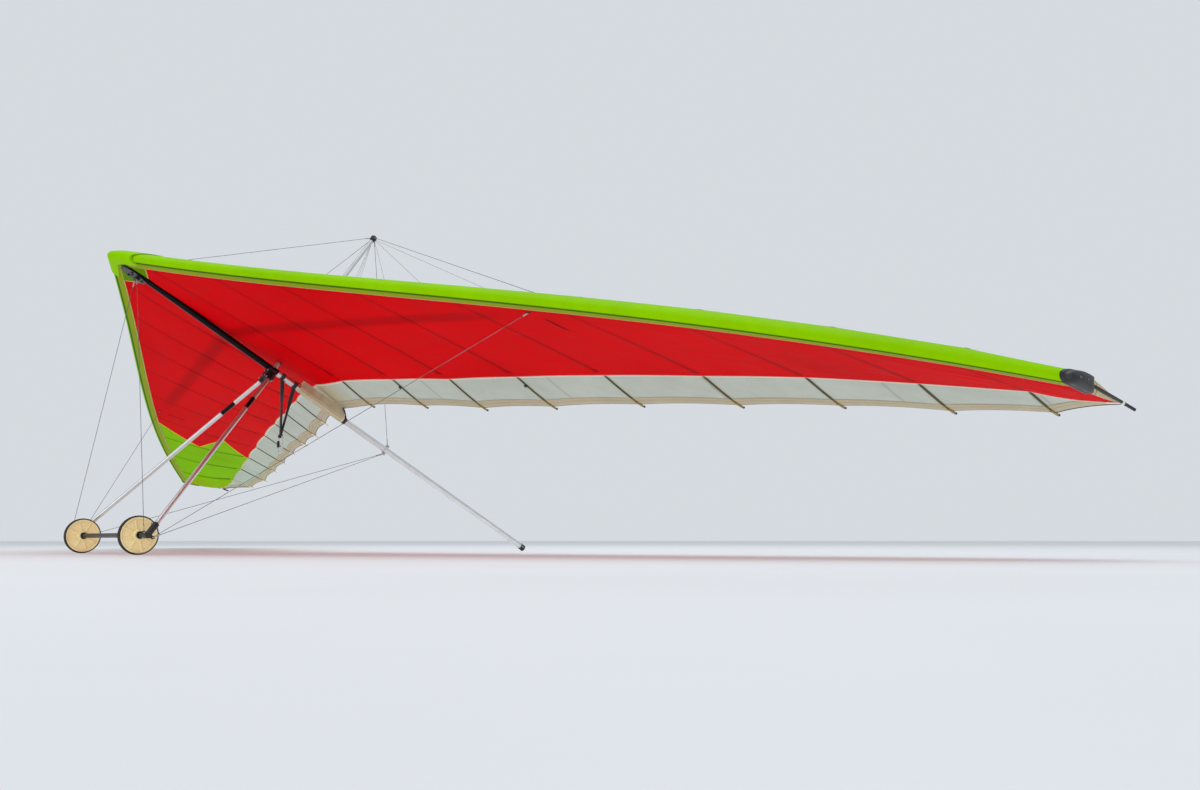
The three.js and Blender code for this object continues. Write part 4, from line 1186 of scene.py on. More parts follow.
rib_cloth = sailcloth("tip_rib_cloth", rib_paint, 0.5, 0.25)
white_webbing = plastic_finish("white_webbing", tone(226, 222, 210), tone(200, 194, 176), 0.75, 1600.0)
for name, side in SIDES:
    flip = np.array([side, 1.0, 1.0])
    cap = [lofted(cap_rings() * flip)]
    made(f"tip_moulding_{name}", cap, black_plastic, "black_plastic", f"tip_cap_{name}")
    ahead, behind = (tip_middle(share) for share in WAND_SHARES)
    bow = down(np.linspace(0, 1, 15))
    line = ahead + (behind - ahead) * bow + WAND_OUT + WAND_BOW * 4 * bow * (1 - bow)
    spur = tip_middle(1.0) + WAND_OUT + (10, 0.14 * rib(TIP_X)[2], 12)
    wand = mirrored([*line, spur], side)
    rods(f"tip_rod_{name}", [wand], WAND_RADIUS, 20, dark_alloy, "dark_alloy", f"tip_wand_{name}")
    tie = tip_middle(TAB_SHARE) + WAND_OUT
    along = (behind - ahead) / np.linalg.norm(behind - ahead) * TAB_HALF
    ring = turned((tie - along) * flip, (tie + along) * flip, TAB_RING)
    tab = np.array([[tie + end - along, tie + end + along] for end in TAB_ENDS]).transpose(1, 0, 2)
    made(f"tip_tab_{name}", [ring, lofted(tab * flip)], white_webbing, "webbing")
    share = np.linspace(0.0, 0.995, 40)
    low = np.where((share < UNDER[-1])[:, None], lower(TIP_X, share), upper(TIP_X, share, -1.0))
    rows = down(np.linspace(0, 1, 5))
    grid = low * (1 - rows[..., None]) + upper(TIP_X, share) * rows[..., None]
    grid[..., 0] += RIB_PUFF * np.sin(math.pi * rows) * np.sin(math.pi * share)
    closer = cloth(f"tip_rib_{name}", grid, rows * 100, share * 1000, side, True, rib_cloth, 0.0)
    edge = mirrored(upper(np.linspace(*ROPE_ENDS, 16), 0.999), side)
    rope = rods(f"tip_rope_{name}", [edge], ROPE_RADIUS[name], 10, cord_finish, "black_plastic")
    on_sail[name] += [fit(closer, "white"), rope]


# Nose cone
# A lime cloth cover pulled over the two leading edges where they meet. Its edge is turned in and
# bound, and it is held by hook tape.
CONE_HALF = 200.0
CONE_TOP = 230.0
CONE_UNDER = 86.0
CONE_OFF = 1.7  # how far it lies off the pockets: at its edge, then inwards, then at its bead
CONE_PUFF = 3.6
CONE_BEAD = 1.6
CONE_BEAD_AT = 0.965
CONE_BLUNT = 8.0
CONE_NOSE = 5.5  # how far it stands out at the very front
CONE_AROUND = [-230, -224, -216, -180, -140, -100, -70, -50, -35, -22, -12, -5]
CONE_AROUND += [0, 5, 12, 22, 35, 55, 68, 76, 81, 86]


def cone_paint(tree, span, chord, shade):
    """Lime cloth, a little darker at its turned edge."""
    return blend_of(tree, between(tree, shade, 0.90, 0.93), LIME, tone(132, 186, 6))


outer_part = np.linspace(24, CONE_HALF, 18)
cone_x = np.concatenate([-outer_part[::-1], np.linspace(-16, 16, 9), outer_part])
cone_d = down(CONE_AROUND)
near = np.sqrt(cone_x**2 + CONE_BLUNT**2) - CONE_BLUNT + ROOT_X
trim = 0.25 * np.abs(cone_x) / CONE_HALF
d = np.abs(cone_d) * (1 - trim * np.clip(np.abs(cone_d) / 65, 0, 1))
rim = np.maximum(np.abs(cone_x) / CONE_HALF, np.where(cone_d < 0, -cone_d / CONE_TOP, cone_d / CONE_UNDER))
puff = CONE_PUFF * np.clip((1 - rim) * 14, 0, 1)
off = CONE_OFF + puff + CONE_BEAD * np.clip(1 - np.abs(rim - CONE_BEAD_AT) * 30, 0, 1)
t = d / rib(near)[2]
cone = np.where(cone_d[..., None] < 0, upper(near, t, off), lower(near, t, off))
cone[..., 1] -= CONE_NOSE * np.clip(1 - d / 18, 0, 1)
cone[..., 0] = cone_x
nose_cloth = sailcloth("nose_cone_cloth", cone_paint, 0.42, 0.1)
nose_cone = cloth("nose_cover", cone, cone_x, cone_d, 1.0, True, nose_cloth, rim)
fit(nose_cone, "lime", "nose_cone")


# Keel pocket and centre seam
# A beige cloth sleeve round the keel carries the rear of the sail. A tape covers the seam where
# the two wings' upper skins meet.
SLEEVE_ENDS = (1312.0, 1688.0)
SLEEVE_RADIUS = 25.5
SLEEVE_OPEN = 128.0  # degrees from its bottom to where it leaves the keel on either side
SLEEVE_GIRTH = 260.0
SLEEVE_ROOF = 66.0
SLEEVE_ROOF_TO = 1665.0  # its roof slopes down behind this place
SLEEVE_SEAMS = (0.07, 0.13, 0.19)
CENTRE_TAPE = np.array([-24, -20, -10, -0.3, 0.3, 10, 20, 24.0])
CENTRE_TAPE_FROM = 190 / 1812  # by share of the root's chord
CENTRE_TAPE_OFF = 1.2
CENTRE_TAPE_LONG = 1800.0


def sleeve_paint(tree, span, chord, shade):
    """Beige cloth with a little dirt, three lines of stitching and paler bound ends."""
    dirt = noise_of(tree, put(tree, "ShaderNodeCombineXYZ", {0: span, 1: chord}).outputs[0], 24.0, 3.0)
    colour = blend_of(tree, between(tree, dirt, 0.35, 0.7), tone(218, 210, 180), tone(200, 190, 154))
    for place in SLEEVE_SEAMS:
        seam = times(tree, stripe(tree, chord, place, 0.0016, 0.002), 0.65)
        colour = blend_of(tree, seam, colour, tone(134, 106, 70))
    return blend_of(tree, times(tree, between(tree, shade, 0.4, 0.6), 0.8), colour, tone(236, 216, 172))


sleeve_cloth = sailcloth("keel_pocket_cloth", sleeve_paint, 0.6, 0.15)
along = np.linspace(*SLEEVE_ENDS, 24)
share = np.clip((along - NOSE_Y) / (REAR_Y[0] - NOSE_Y), 0, 1)
roof = np.minimum(lower(ROOT_X, np.minimum(share, 0.84))[:, 2], SLEEVE_ROOF) - 2.0
roof = np.where(along > SLEEVE_ROOF_TO, roof - (along - SLEEVE_ROOF_TO) * 0.6, roof)
angles = np.radians(np.linspace(-SLEEVE_OPEN, SLEEVE_OPEN, 25))
ring = np.stack([np.sin(angles), -np.cos(angles)], -1) * SLEEVE_RADIUS
rows = []
for y, top in zip(along, roof):
    fold = 1.0 + 0.012 * math.sin(y / 23.0) * math.cos(y / 61.0)
    left_side = [(-2.0, top), (-5.0, top - 8), (-9.0, 0.6 * top + 8)]
    right_side = [(-x, z) for x, z in left_side[::-1]]
    rows.append([(x, y, z) for x, z in left_side + [(x * fold, z * fold) for x, z in ring] + right_side])
grid = np.array(rows)
ends = down(np.clip(1 - np.minimum(along - SLEEVE_ENDS[0], SLEEVE_ENDS[1] - along) / 12, 0, 1))
girth = np.linspace(0, SLEEVE_GIRTH, grid.shape[1])
sleeve = cloth("keel_sleeve", grid, down(along), girth, 1.0, False, sleeve_cloth, ends)
fit(sleeve, "white", "keel_pocket")

t = down(np.linspace(CENTRE_TAPE_FROM, 1.0, 60))
grid = upper(np.abs(CENTRE_TAPE), t, CENTRE_TAPE_OFF)
grid[..., 0] = CENTRE_TAPE
chord = t * CENTRE_TAPE_LONG
centre_tape = cloth("centre_seam_tape", grid, CENTRE_TAPE, chord, 1.0, True, top_pocket, 0.0)
on_sail["left"].append(fit(centre_tape, "white"))


# Wheels
# Each wheel is a moulded cream disc with a raised rim, hub and ribs, and a black tyre with a
# blocked tread is stretched round it. It spins on the base bar between two collars.
WHEEL_X = 563.0
RIBS = 8
DISC_HALF = 3.5
HUB_RISE = 24.0
LIP_RISE = 13.0
RIB_RISE = 8.0
DISH_RISE = 2.4
DISC_RADII = [14.8, 17, 24.5, 26, 27.5, 29, 31, 33, 35, 38, 44, 50, 56, 62, 68, 74, 80, 86, 88, 89.5]
DISC_RADII += [91, 93, 96, 99, 101.5, 102.7]
DISC_TURNS = 160
FLANK = ((103.0, -18.0), (103.6, -19.2), (105.0, -20.0), (106.8, -19.4), (107.8, -17.4))
TREAD_RADIUS = 110.0
TREAD_HALF = 15.0
TREAD_BLOCKS = 44
TYRE_TURNS = 264


def closed_rings(name, grid, material, slot, *nodes, body):
    """A turned piece from rings of points whose last joins the first."""
    mesh = mesh_of(name, parked(grid.reshape(-1, 3)), wrapped(*grid.shape[:2], whole=True))
    turn_outwards(mesh)
    return fit(shown(name, mesh, material), slot, *nodes, body=body)


def about_axle(side, out, radii, angles):
    """Points about a wheel's axle, given how far out along it they lie and how far off it."""
    x, y, z = (WHEEL_X * side, *CORNER[1:])
    return np.stack([x + out + 0 * angles, y + radii * np.cos(angles), z + radii * np.sin(angles)], -1)


def disc_height(r, angle):
    """Half the disc's thickness: hub, thin web with ribs, and the rim's lip."""
    hub = np.clip((33 - r) / 5, 0, 1)
    lip = np.clip((r - 88) / 5, 0, 1)
    wave = np.abs(np.mod(angle * RIBS / (2 * math.pi) + 0.5, 1) - 0.5) * 2 * math.pi * r / RIBS
    ribs = np.clip((6.0 - wave) / 2.5, 0, 1) * np.clip((r - 28) / 6, 0, 1) * np.clip((96 - r) / 6, 0, 1)
    dish = DISH_RISE * np.clip(1 - np.abs(r - 60) / 28, 0, 1)
    rims = np.maximum(HUB_RISE * hub**0.6, LIP_RISE * lip)
    return DISC_HALF + np.maximum(np.maximum(dish, RIB_RISE * ribs), rims)


angles = np.linspace(0, 2 * math.pi, DISC_TURNS, endpoint=False)
radii = down(DISC_RADII)
half = disc_height(radii, angles)
half[-1] -= 1.0
half[0] -= 1.2
for name, side in SIDES:
    disc = about_axle(side, np.concatenate([half, -half[::-1]]), np.concatenate([radii, radii[::-1]]), angles)
    cream = plastic_finish(f"wheel_cream_{name}", tone(252, 232, 172), tone(248, 224, 158), 0.24, 700.0)
    closed_rings(f"wheel_disc_{name}", disc, cream, "cream_plastic", f"wheel_{name}", body=f"{name}_wheel")

angles = np.linspace(0, 2 * math.pi, TYRE_TURNS, endpoint=False)
crown = down(np.linspace(-TREAD_HALF, TREAD_HALF, 31))
block = np.mod(np.mod(angles * TREAD_BLOCKS / (2 * math.pi), 1.0) + np.where(crown > 0, 0.5, 0.0), 1.0)
slot = np.clip((0.13 - np.abs(block - 0.5)) * 18, 0, 1) * np.clip((np.abs(crown) - 5.5) / 1.5, 0, 1)
groove = np.clip(1.9 - np.abs(np.abs(crown) - 5.0), 0, 1)
tread = TREAD_RADIUS - 0.35 * (crown / 12) ** 2 - 1.8 * np.maximum(slot, groove)
flank = down([radius for radius, _ in FLANK]) + 0 * angles
flank_out = down([out for _, out in FLANK])
radii = np.concatenate([flank, tread, flank[::-1]])
out = np.concatenate([flank_out, crown, -flank_out[::-1]])
for name, side in SIDES:
    rubber = plastic_finish(f"tyre_rubber_{name}", tone(26, 26, 27), tone(64, 62, 58), 0.78, 500.0)
    tyre = about_axle(side, out, radii, angles)
    closed_rings(f"tyre_tread_{name}", tyre, rubber, "rubber", f"tyre_{name}", body=f"{name}_wheel")


# Fasteners
# Hex bolts on washers hold the brackets, tangs and caps, and small grub screws lock the wheel
# collars on the base bar.
BOLT_PARTS = (
    # sides, radius and height by those of the head, and how high it starts
    (20, 1.45, 0.35, 0.0),
    (6, 1.0, 1.0, 0.35),
    (12, 0.55, 0.45, 1.3),
)
BOLT = (0.0055, 0.004)  # head radius and height in metres
SCREW = (0.003, 0.002)
SLEEVE_WALL = 18.2  # from a corner bracket's sleeve to its middle
BRACKET_IN = 40.0  # from the corner to a bolt through the base bar
BRACKET_UP = 74.0  # and to one through the downtube
APEX_DOWN = 30.0
APEX_WALL = 19.0
APEX_BOLT = (24.0, 30.0)  # from the keel's middle along the span, and fore and aft of the apex
APEX_BOLT_Z = (-26.0, -68.0)
FRAME_SQUARE = np.array([0.0, 0.977, -0.2116])  # square to the control frame's plane
COLLAR_SCREW_OFF = 37.0
COLLAR_SCREW_UP = 20.6
TANG_BOLT = (6.0, 2080.0, 32.0)
KING_SCREW = (21.6, 1202.0, 1242.0)
CAP_SCREW_SHARES = (0.12, 0.24)
CAP_SCREW_OUT = 33.0
FOOT_SCREW_X = 22.8
FOOT_SCREW_Y = (3442.0, 3456.0)


def at_points(tree, given, part):
    """Ends a tree with a part at each point, turned to the point's axis."""
    axis = put(tree, "GeometryNodeInputNamedAttribute", {"Name": "axis"}, data_type="FLOAT_VECTOR")
    turn = put(tree, "FunctionNodeAlignRotationToVector", {"Vector": axis.outputs[0]}, axis="Z")
    spots = {"Points": given["Points"], "Instance": part.outputs[0], "Rotation": turn.outputs[0]}
    return close_tree(tree, given, put(tree, "GeometryNodeInstanceOnPoints", spots))


def bolt_tree():
    """A hex head on a washer at each point, with the bolt's end over it."""
    inputs = {"Points": GEOMETRY, "Head Radius": NUMBER, "Head Height": NUMBER, "Finish": FINISH}
    tree, given = new_tree("hex_bolts", inputs)
    radius, height = given["Head Radius"], given["Head Height"]
    bolt = put(tree, "GeometryNodeJoinGeometry")
    for sides, wide, tall, low in BOLT_PARTS:
        size = {"Vertices": sides, "Radius": times(tree, radius, wide), "Depth": times(tree, height, tall)}
        part = put(tree, "GeometryNodeMeshCylinder", size)
        lift = put(tree, "ShaderNodeCombineXYZ", {2: times(tree, height, low + tall / 2)})
        placed = {"Geometry": part.outputs[0], "Translation": lift.outputs[0]}
        tree.links.new(put(tree, "GeometryNodeTransform", placed).outputs[0], bolt.inputs[0])
    return at_points(tree, given, bolt)


def mark_axes(mesh, axes):
    """Gives each point of a mesh the axis that it faces."""
    axes = np.array([tuple(axis) for axis in axes], float)
    mesh.attributes.new("axis", "FLOAT_VECTOR", "POINT").data.foreach_set("vector", axes.ravel())
    return mesh


def pointed(spots):
    """A mesh of the points at some spots of the level glider, each with the axis that it faces."""
    mesh = mesh_of("spots", [parked(place) for place, _ in spots], [])
    return mark_axes(mesh, [leaned(axis) for _, axis in spots])


def bolted(name, spots, radius, height, body="airframe"):
    """Bolts at some spots, of a head radius and height in metres."""
    sizes = {"Head Radius": radius, "Head Height": height, "Finish": bolt_steel}
    return grown(name, pointed(spots), BOLTS, sizes, "steel", body=body)


big, small = [], []
for name, side in SIDES:
    flip, out = np.array([side, 1, 1]), np.array([side, 0, 0])
    for way in (-1, 1):
        small.append(((CORNER + (EYE_X + EYE_HALF - CORNER[0], EYE_OFF * way, 0)) * flip, out))
        big.append(((CORNER + (-BRACKET_IN, 0, SLEEVE_WALL * way)) * flip, (0, 0, way)))
        square = FRAME_SQUARE * way
        big.append(((CORNER + up * BRACKET_UP + square * SLEEVE_WALL) * flip, square * flip))
        big.append(((APEX - up * APEX_DOWN + square * APEX_WALL) * flip, square * flip))
        for z in APEX_BOLT_Z:
            big.append((np.array([APEX_BOLT[0] * side, APEX[1] + APEX_BOLT[1] * way, z]), (0, way, 0)))
    for off in (-COLLAR_SCREW_OFF, COLLAR_SCREW_OFF):
        collar = (CORNER * (0, 1, 1) + (WHEEL_X + off, 0, COLLAR_SCREW_UP)) * flip
        small.append((collar, (0, 0, 1)))
    for way in (1, -1):
        big.append((np.array(TANG_BOLT) * (side, 1, way), out))
    small.append((np.array(KING_SCREW) * flip, out))
    for share in CAP_SCREW_SHARES:
        small.append(((tip_middle(share) + (CAP_SCREW_OUT, 0, 0)) * flip, out))
    for y in FOOT_SCREW_Y:
        small.append((np.array([FOOT_SCREW_X * side, y, 0]), out))
BOLTS = bolt_tree()
bolt_tones = (tone(196, 198, 200), tone(150, 150, 148))
bolt_steel = tube_finish("bolt_steel", *bolt_tones, Vector((0, 0, 1)), 0.3, 1.0)
bolts = bolted("bracket_bolts", big, *BOLT)
screws = bolted("small_screws", small, *SCREW)
for piece in (bolts, screws):
    piece.data.polygons.foreach_set("use_smooth", [False] * len(piece.data.polygons))


# Eyelets and boots
# Wires and kingpost pass through the sail in pressed eyelets and a rubber boot, so that the
# cloth isn't chafed.
WIRE_HOLE = (2729.0, 1232.0)  # its place along span and keel
EYELET_RADIUS = 0.0078
POST_RING = (0.0175, 0.0045)  # radius and bead in metres


def ring_tree():
    """A round ring at each point, lying square to the point's axis."""
    inputs = {"Points": GEOMETRY, "Ring Radius": NUMBER, "Bead Radius": NUMBER, "Finish": FINISH}
    tree, given = new_tree("pressed_rings", inputs)
    line = put(tree, "GeometryNodeCurvePrimitiveCircle", {"Resolution": 40, "Radius": given["Ring Radius"]})
    bead = put(tree, "GeometryNodeCurvePrimitiveCircle", {"Resolution": 12, "Radius": given["Bead Radius"]})
    sweep = {"Curve": line.outputs[0], "Profile Curve": bead.outputs[0]}
    return at_points(tree, given, put(tree, "GeometryNodeCurveToMesh", sweep))


def ringed(name, spots, radius, bead, material, slot):
    """Rings at some spots, of a radius and a bead in metres."""
    sizes = {"Ring Radius": radius, "Bead Radius": bead, "Finish": material}
    return grown(name, pointed(spots), RINGS, sizes, slot)


def on_skin(skin, x, y):
    """The left wing's point of a skin over a place along span and keel, and the way that it faces."""
    front, run, _, _ = rib(x)
    share = (y - front[0]) / run[0]
    for _ in range(6):
        share = share + (y - skin(x, share)[1]) / run[0]
    middle = skin(x, share)
    face = np.cross(skin(x + 20, share) - middle, skin(x, share + 0.01) - middle)
    return middle, face / np.linalg.norm(face)


def post_place(skin):
    """Where the kingpost passes through a skin."""
    y = KING_FOOT[1] + 5.0
    for _ in range(4):
        z = on_skin(skin, 0.2, y)[0][2]
        y = KING_FOOT[1] + (z - KING_FOOT[2]) * king_way[1] / king_way[2]
    return np.array([0.0, y, z])


RINGS = ring_tree()
rubber_boot = plastic_finish("kingpost_boot", tone(28, 28, 29), tone(58, 56, 52), 0.7, 600.0)
EYELETS = (
    # level, skin, lift, finish, slot, bead
    ("upper", upper, 1.0, bolt_steel, "steel", 0.0022),
    ("lower", lower, -1.0, rubber_boot, "rubber", 0.0038),
)
for level, skin, lift, finish, slot, bead in EYELETS:
    place, face = on_skin(skin, *WIRE_HOLE)
    eyes = [((place + face * lift) * (side, 1, 1), face * (side, 1, 1)) for _, side in SIDES]
    ringed(f"wire_eyelets_{level}", eyes, EYELET_RADIUS, bead, finish, slot)
posts = [(post_place(skin), king_way) for skin in (upper, lower)]
ringed("kingpost_boots", posts, *POST_RING, rubber_boot, "rubber")


# Luff lines
# Thin cords run from the kingpost's cap to batten ends on each side, and hold the sail's rear
# edge up in a dive.
LUFF_BATTENS = (732.0, 1742.0, 2957.0)
LUFF_TOP = (12.0, 1206.0, 1236.0)
LUFF_END = 95.0  # before the sail's rear edge
LUFF_RADIUS = 0.9
LUFF_RING = (0.006, 0.0014)
for name, side in SIDES:
    lines, loops = [], []
    for x in LUFF_BATTENS:
        end = upper(x, 1 - LUFF_END / rib(x)[2], 4.0)
        lines.append(mirrored([LUFF_TOP, end], side))
        loops.append((end * (side, 1, 1), (1, 0, 0)))
    rods(f"luff_lines_{name}", lines, LUFF_RADIUS, 6, cord_finish, "webbing")
    ringed(f"luff_rings_{name}", loops, *LUFF_RING, bolt_steel, "steel")


# Stitching
# Every seam of the sail is sewn with a zigzag of thick polyester thread, which lies on the cloth
# and shows on both of its sides.
SEAMS = (
    # skin, edge that it is measured from, how far behind that edge, lift
    (lower, "front", 87.0, 1.9),
    (upper, "front", 153.0, 1.9),
    (upper, "under", 5.0, -2.6),
    (upper, "rear", -71.0, -1.9),
    (upper, "rear", -71.0, 1.6),
)
CAP_LIP = 30.0  # the front seams end under the tip cap's lip
CAP_UNDER = 16.0
NOSE_GAP = 210.0  # the lower front seam starts beyond the nose cone


def stitch_tree():
    """Short threads along a path, slanting one way and the other, lying on the cloth."""
    inputs = {"Path": GEOMETRY, "Pitch": NUMBER, "Thread": NUMBER, "Finish": FINISH}
    tree, given = new_tree("zigzag_stitches", inputs)
    curve = put(tree, "GeometryNodeMeshToCurve", {"Mesh": given["Path"]})
    spacing = {"Curve": curve.outputs[0], "Length": given["Pitch"]}
    beads = put(tree, "GeometryNodeCurveToPoints", spacing, mode="LENGTH")
    axis = put(tree, "GeometryNodeInputNamedAttribute", {"Name": "axis"}, data_type="FLOAT_VECTOR")
    ahead = {"Vector": beads.outputs["Tangent"]}
    along = put(tree, "FunctionNodeAlignRotationToVector", ahead, axis="X")
    upright = {"Rotation": along.outputs[0], "Vector": axis.outputs[0]}
    flat = put(tree, "FunctionNodeAlignRotationToVector", upright, axis="Z", pivot_axis="X")
    odd = math_of(tree, "MODULO", put(tree, "GeometryNodeInputIndex").outputs[0], 2.0)
    slant = put(tree, "ShaderNodeCombineXYZ", {2: math_of(tree, "MULTIPLY_ADD", odd, 1.9, -0.95)})
    slanted = {"Rotation": flat.outputs[0], "Rotate By": slant.outputs[0]}
    turn = put(tree, "FunctionNodeRotateRotation", slanted, rotation_space="LOCAL")
    long = times(tree, given["Pitch"], 1.25)
    size = put(tree, "ShaderNodeCombineXYZ", {0: long, 1: given["Thread"], 2: given["Thread"]})
    thread = put(tree, "GeometryNodeMeshCube", {"Size": size.outputs[0]})
    spots = {"Points": beads.outputs[0], "Instance": thread.outputs[0], "Rotation": turn.outputs[0]}
    return close_tree(tree, given, put(tree, "GeometryNodeInstanceOnPoints", spots))


def seam_line(skin, edge, off, lift, side):
    """A line along the span on a skin, with the way that the cloth faces at each point."""
    x = SPAN
    if edge == "front":
        x = np.append(x[x < TIP_X - CAP_LIP], TIP_X - CAP_UNDER)
    if skin is lower:
        x = x[x > NOSE_GAP]
    _, _, chord, under = rib(x)
    t = {"front": 0.0, "under": under, "rear": 1.0}[edge] + off / chord
    points = skin(x, t, lift)
    ahead = skin(x, t + 0.004, lift) - points
    face = np.cross(np.gradient(points, axis=0), ahead) * (1.0 if skin is upper else -1.0)
    return mirrored(points, side), [leaned(way * (side, 1, 1)) for way in face]


STITCHES = stitch_tree()
thread_finish = plastic_finish("sail_thread", tone(224, 216, 190), tone(190, 180, 150), 0.7, 3000.0)
for name, side in SIDES:
    lines, faces = zip(*(seam_line(*seam, side) for seam in SEAMS))
    mesh = mark_axes(paths(lines), [face for line in faces for face in line])
    sizes = {"Pitch": 0.0065, "Thread": 0.0008, "Finish": thread_finish}
    grown(f"sail_stitches_{name}", mesh, STITCHES, sizes, "white")


# Hang strap
# Two loops of black webbing are choked round the keel and turn a quarter as they run down to one
# sewn bight. The double webbing is stitched along its edges.
STRAP_WIDTH = 27.0
STRAP_LOOPS = (1175.0, 1275.0)
STRAP_RADIUS = 23.5
STRAP_DROP = 400.0
BIGHT_RADIUS = 9.8
LOOP_THICK = 3.0
STRAP_THICK = 6.6
BIGHT_THICK = 5.6
STRAP_FROM = 24.0
STRAP_SHORT = 9.5  # how far before the bight's middle the strap joins it
TURN_FROM = 40.0
TURN_OVER = 150.0
PLUMB = np.array([0.0, SIN, -COS])
BIGHT = np.array([0.0, STRAP_LOOPS[0], 0.0]) + PLUMB * STRAP_DROP
SPANWISE = np.array([1.0, 0, 0])
KEELWISE = np.array([0.0, 1, 0])
BAND_SECTION = [(-1, -0.55), (-0.96, -1), (0, -1), (0.96, -1), (1, -0.55)]
BAND_SECTION += [(1, 0.55), (0.96, 1), (0, 1), (-0.96, 1), (-1, 0.55)]


def webbing_finish(name):
    """Flat woven webbing: slanting ribs, worn fuzzy edges, a thread line near each edge."""
    material, tree, shader = new_finish(name, 0.85)
    place = put(tree, "ShaderNodeUVMap", uv_map="cloth").outputs[0]
    along, across, _ = put(tree, "ShaderNodeSeparateXYZ", {0: place}).outputs
    fuzz = noise_of(tree, place, 160.0, 3.0)
    ribs, cross, dashes = (
        math_of(tree, "SINE", times(tree, way, pitch))
        for way, pitch in ((along, 2600.0), (across, 3900.0), (along, 1500.0))
    )
    colour = blend_of(tree, between(tree, fuzz, 0.4, 0.75), tone(24, 24, 27), tone(58, 58, 62))
    thread = stripe(tree, math_of(tree, "ABSOLUTE", across), 0.0105, 0.0006, 0.0004)
    sewn = times(tree, thread, between(tree, dashes, 0.0, 0.2))
    colour = blend_of(tree, sewn, colour, tone(150, 148, 140))
    level = between(tree, fuzz, *MOST, 0.75, 0.95)
    bump = bump_of(tree, times(tree, ribs, cross), 0.5, 0.0005)
    fill(tree, shader, {"Base Color": colour, "Roughness": level, "Normal": bump})
    return material


def band(centres, wides, thicks, width, thick, closed):
    """A flat band swept along its centre line: points, faces and places on the flat cloth."""
    points, marks = [], []
    run = [0, *np.cumsum(np.linalg.norm(np.diff(centres, axis=0), axis=1))]
    for centre, wide, thin, far in zip(centres, wides, thicks, run):
        for a, b in BAND_SECTION:
            points.append(centre + wide * a * width / 2 + thin * b * thick / 2)
            marks.append((far / 1000, a * width / 2000))
    return points, wrapped(len(centres), len(BAND_SECTION), closed), marks


def loop(middle, axle, radius, width, thick, steps):
    """A closed band round an axle that lies along the keel or the span."""
    turn = down(np.radians(np.linspace(0, 360, steps, endpoint=False)))
    out = np.sin(turn) * axle[[1, 0, 2]] - np.cos(turn) * (0, 0, 1)
    return band(middle + out * radius, np.tile(axle, (steps, 1)), out, width, thick, True)


def sewn_piece(name, bands, finish, *nodes, body="airframe"):
    """One piece of webbing from its bands."""
    points, faces = joined([part[:2] for part in bands])
    mesh = mesh_of(name, parked(points), faces)
    mark_cloth(mesh, [mark for part in bands for mark in part[2]])
    turn_outwards(mesh)
    return fit(shown(name, mesh, webbing_finish(finish)), "webbing", *nodes, body=body)


bands = []
for y in STRAP_LOOPS:
    top = np.array([0, y, 0])
    bands.append(loop(top, KEELWISE, STRAP_RADIUS, STRAP_WIDTH, LOOP_THICK, 48))
    length = np.linalg.norm(BIGHT - top)
    way = (BIGHT - top) / length
    far = np.linspace(STRAP_FROM, length - STRAP_SHORT, 40)
    spin = np.clip((far - TURN_FROM) / TURN_OVER, 0, 1)
    spin = down(spin * spin * (3 - 2 * spin) * math.pi / 2)
    wides = np.sin(spin) * SPANWISE - np.cos(spin) * np.cross(way, SPANWISE)
    centres = top + way * down(far)
    bands.append(band(centres, wides, np.cross(wides, way), STRAP_WIDTH, STRAP_THICK, False))
bands.append(loop(BIGHT, SPANWISE, BIGHT_RADIUS, STRAP_WIDTH, BIGHT_THICK, 40))
sewn_piece("hang_strap_webbing", bands, "strap_webbing", "hang_strap", body="strap")


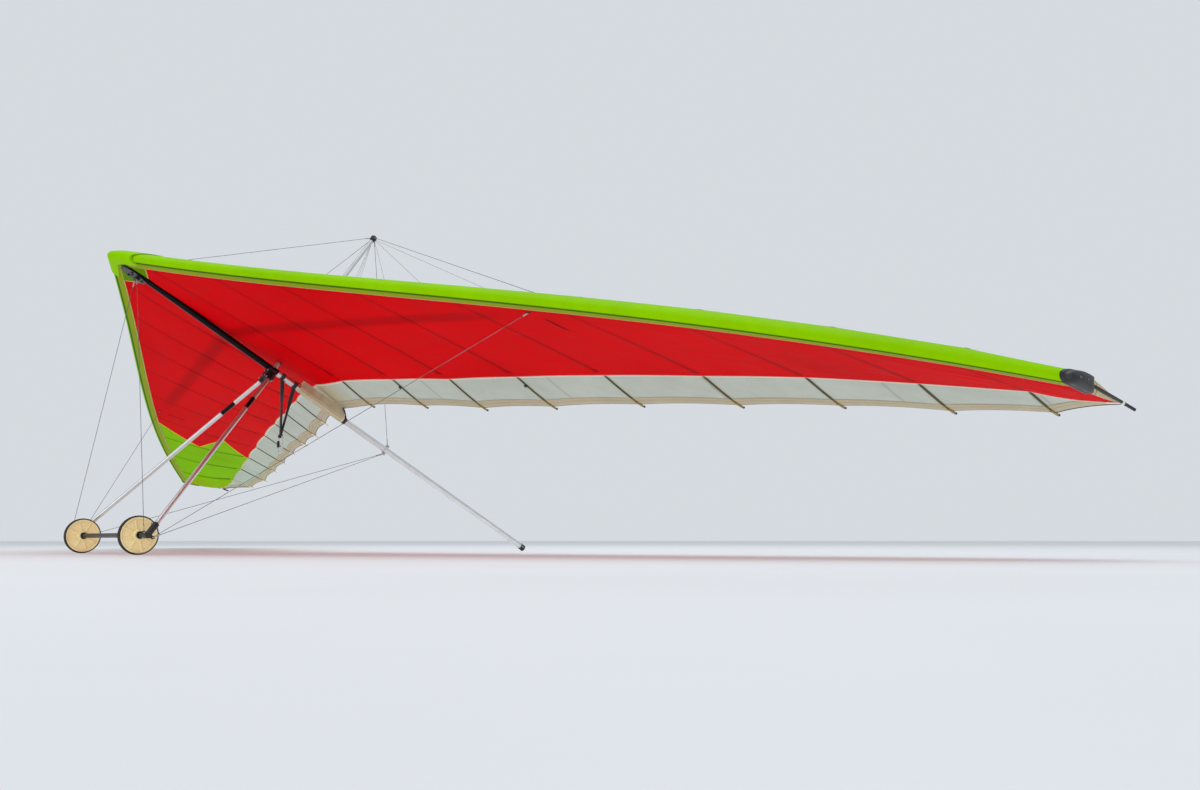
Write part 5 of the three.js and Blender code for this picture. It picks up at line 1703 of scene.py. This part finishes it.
# Rear tie
# A black webbing loop round the keel pulls the sail's rear corners back, by a tab to each wing.
# It is sewn, and cinched just behind the keel sleeve.
TIE_Y = 1704.0
TIE_RADIUS = 22.8
TIE_LOOP = (22.0, 2.6)  # width and thickness
TIE_TAB = (20.0, 2.4)
TIE_FROM = np.array([5.0, TIE_Y - 2, 24.0])
TIE_TO = np.array([16.0, 1648.0, 66.0])
TIE_FACE = (0.0, 0.62, 0.78)
TIE_BOW = np.array([0, 0, 3.0])
bands = [loop(KEELWISE * TIE_Y, KEELWISE, TIE_RADIUS, *TIE_LOOP, 40)]
share = down(np.linspace(0, 1, 8))
for name, side in SIDES:
    low, high = TIE_FROM * (side, 1, 1), TIE_TO * (side, 1, 1)
    centres = low + (high - low) * share + TIE_BOW * np.sin(math.pi * share)
    way = (high - low) / np.linalg.norm(high - low)
    wide = np.cross(way, TIE_FACE)
    wide /= np.linalg.norm(wide)
    thin = np.cross(wide, way)
    bands.append(band(centres, [wide] * len(share), [thin] * len(share), *TIE_TAB, False))
sewn_piece("rear_sail_tie", bands, "tie_webbing")


# Carabiner
# A steel ring with a hinged gate, locked by a knurled screw sleeve, hangs in the bight. Two pins
# hold the gate's hinge below the sleeve.
GATE_X = -31.0
SLEEVE_DROPS = [30, 31.2, *range(33, 72, 2), 72.8, 74]  # below the bight's middle
SLEEVE_OUTER = 8.4
SLEEVE_INNER = 6.1
KNURLED = (36.0, 68.0)  # the knurl's ends
CHAMFERED = (31.5, 72.5)  # where the sleeve's ends begin to draw in
CHAMFER = 0.8
KNURLS = 18
KNURL_TURNS = 72
HINGE_DROP = 84.0
PIN_OFF = 5.2
PIN = (0.0026, 0.0012)
carabiner_tones = (tone(176, 180, 184), tone(214, 216, 218))
dress("carabiner", tube_finish("carabiner_steel", *carabiner_tones, Vector((1, 0, 0)), 0.28, 1.0))
forward = np.cross(PLUMB, SPANWISE)
gate = BIGHT + (GATE_X, 0, 0)
angles = np.linspace(0, 2 * math.pi, KNURL_TURNS, endpoint=False)
around = down(np.cos(angles)) * SPANWISE + down(np.sin(angles)) * forward
drops = down(SLEEVE_DROPS)
ridges = np.abs(np.mod(angles * KNURLS / (2 * math.pi), 1) - 0.5)
knurl = ridges * ((drops > KNURLED[0]) & (drops < KNURLED[1]))
chamfer = (np.maximum(CHAMFERED[0] - drops, 0) + np.maximum(drops - CHAMFERED[1], 0)) * CHAMFER
radii = SLEEVE_OUTER + knurl - chamfer
drops = np.concatenate([drops, drops[[-1, 0]]])
radii = np.concatenate([radii, np.full((2, KNURL_TURNS), SLEEVE_INNER)])
rings = gate + PLUMB * drops[..., None] + radii[..., None] * around
closed_rings("carabiner_sleeve", rings, dark_alloy, "dark_alloy", body="carabiner")
pins = [(gate + PLUMB * HINGE_DROP + way * PIN_OFF, way) for way in (forward, -forward)]
bolted("carabiner_pins", pins, *PIN, body="carabiner")
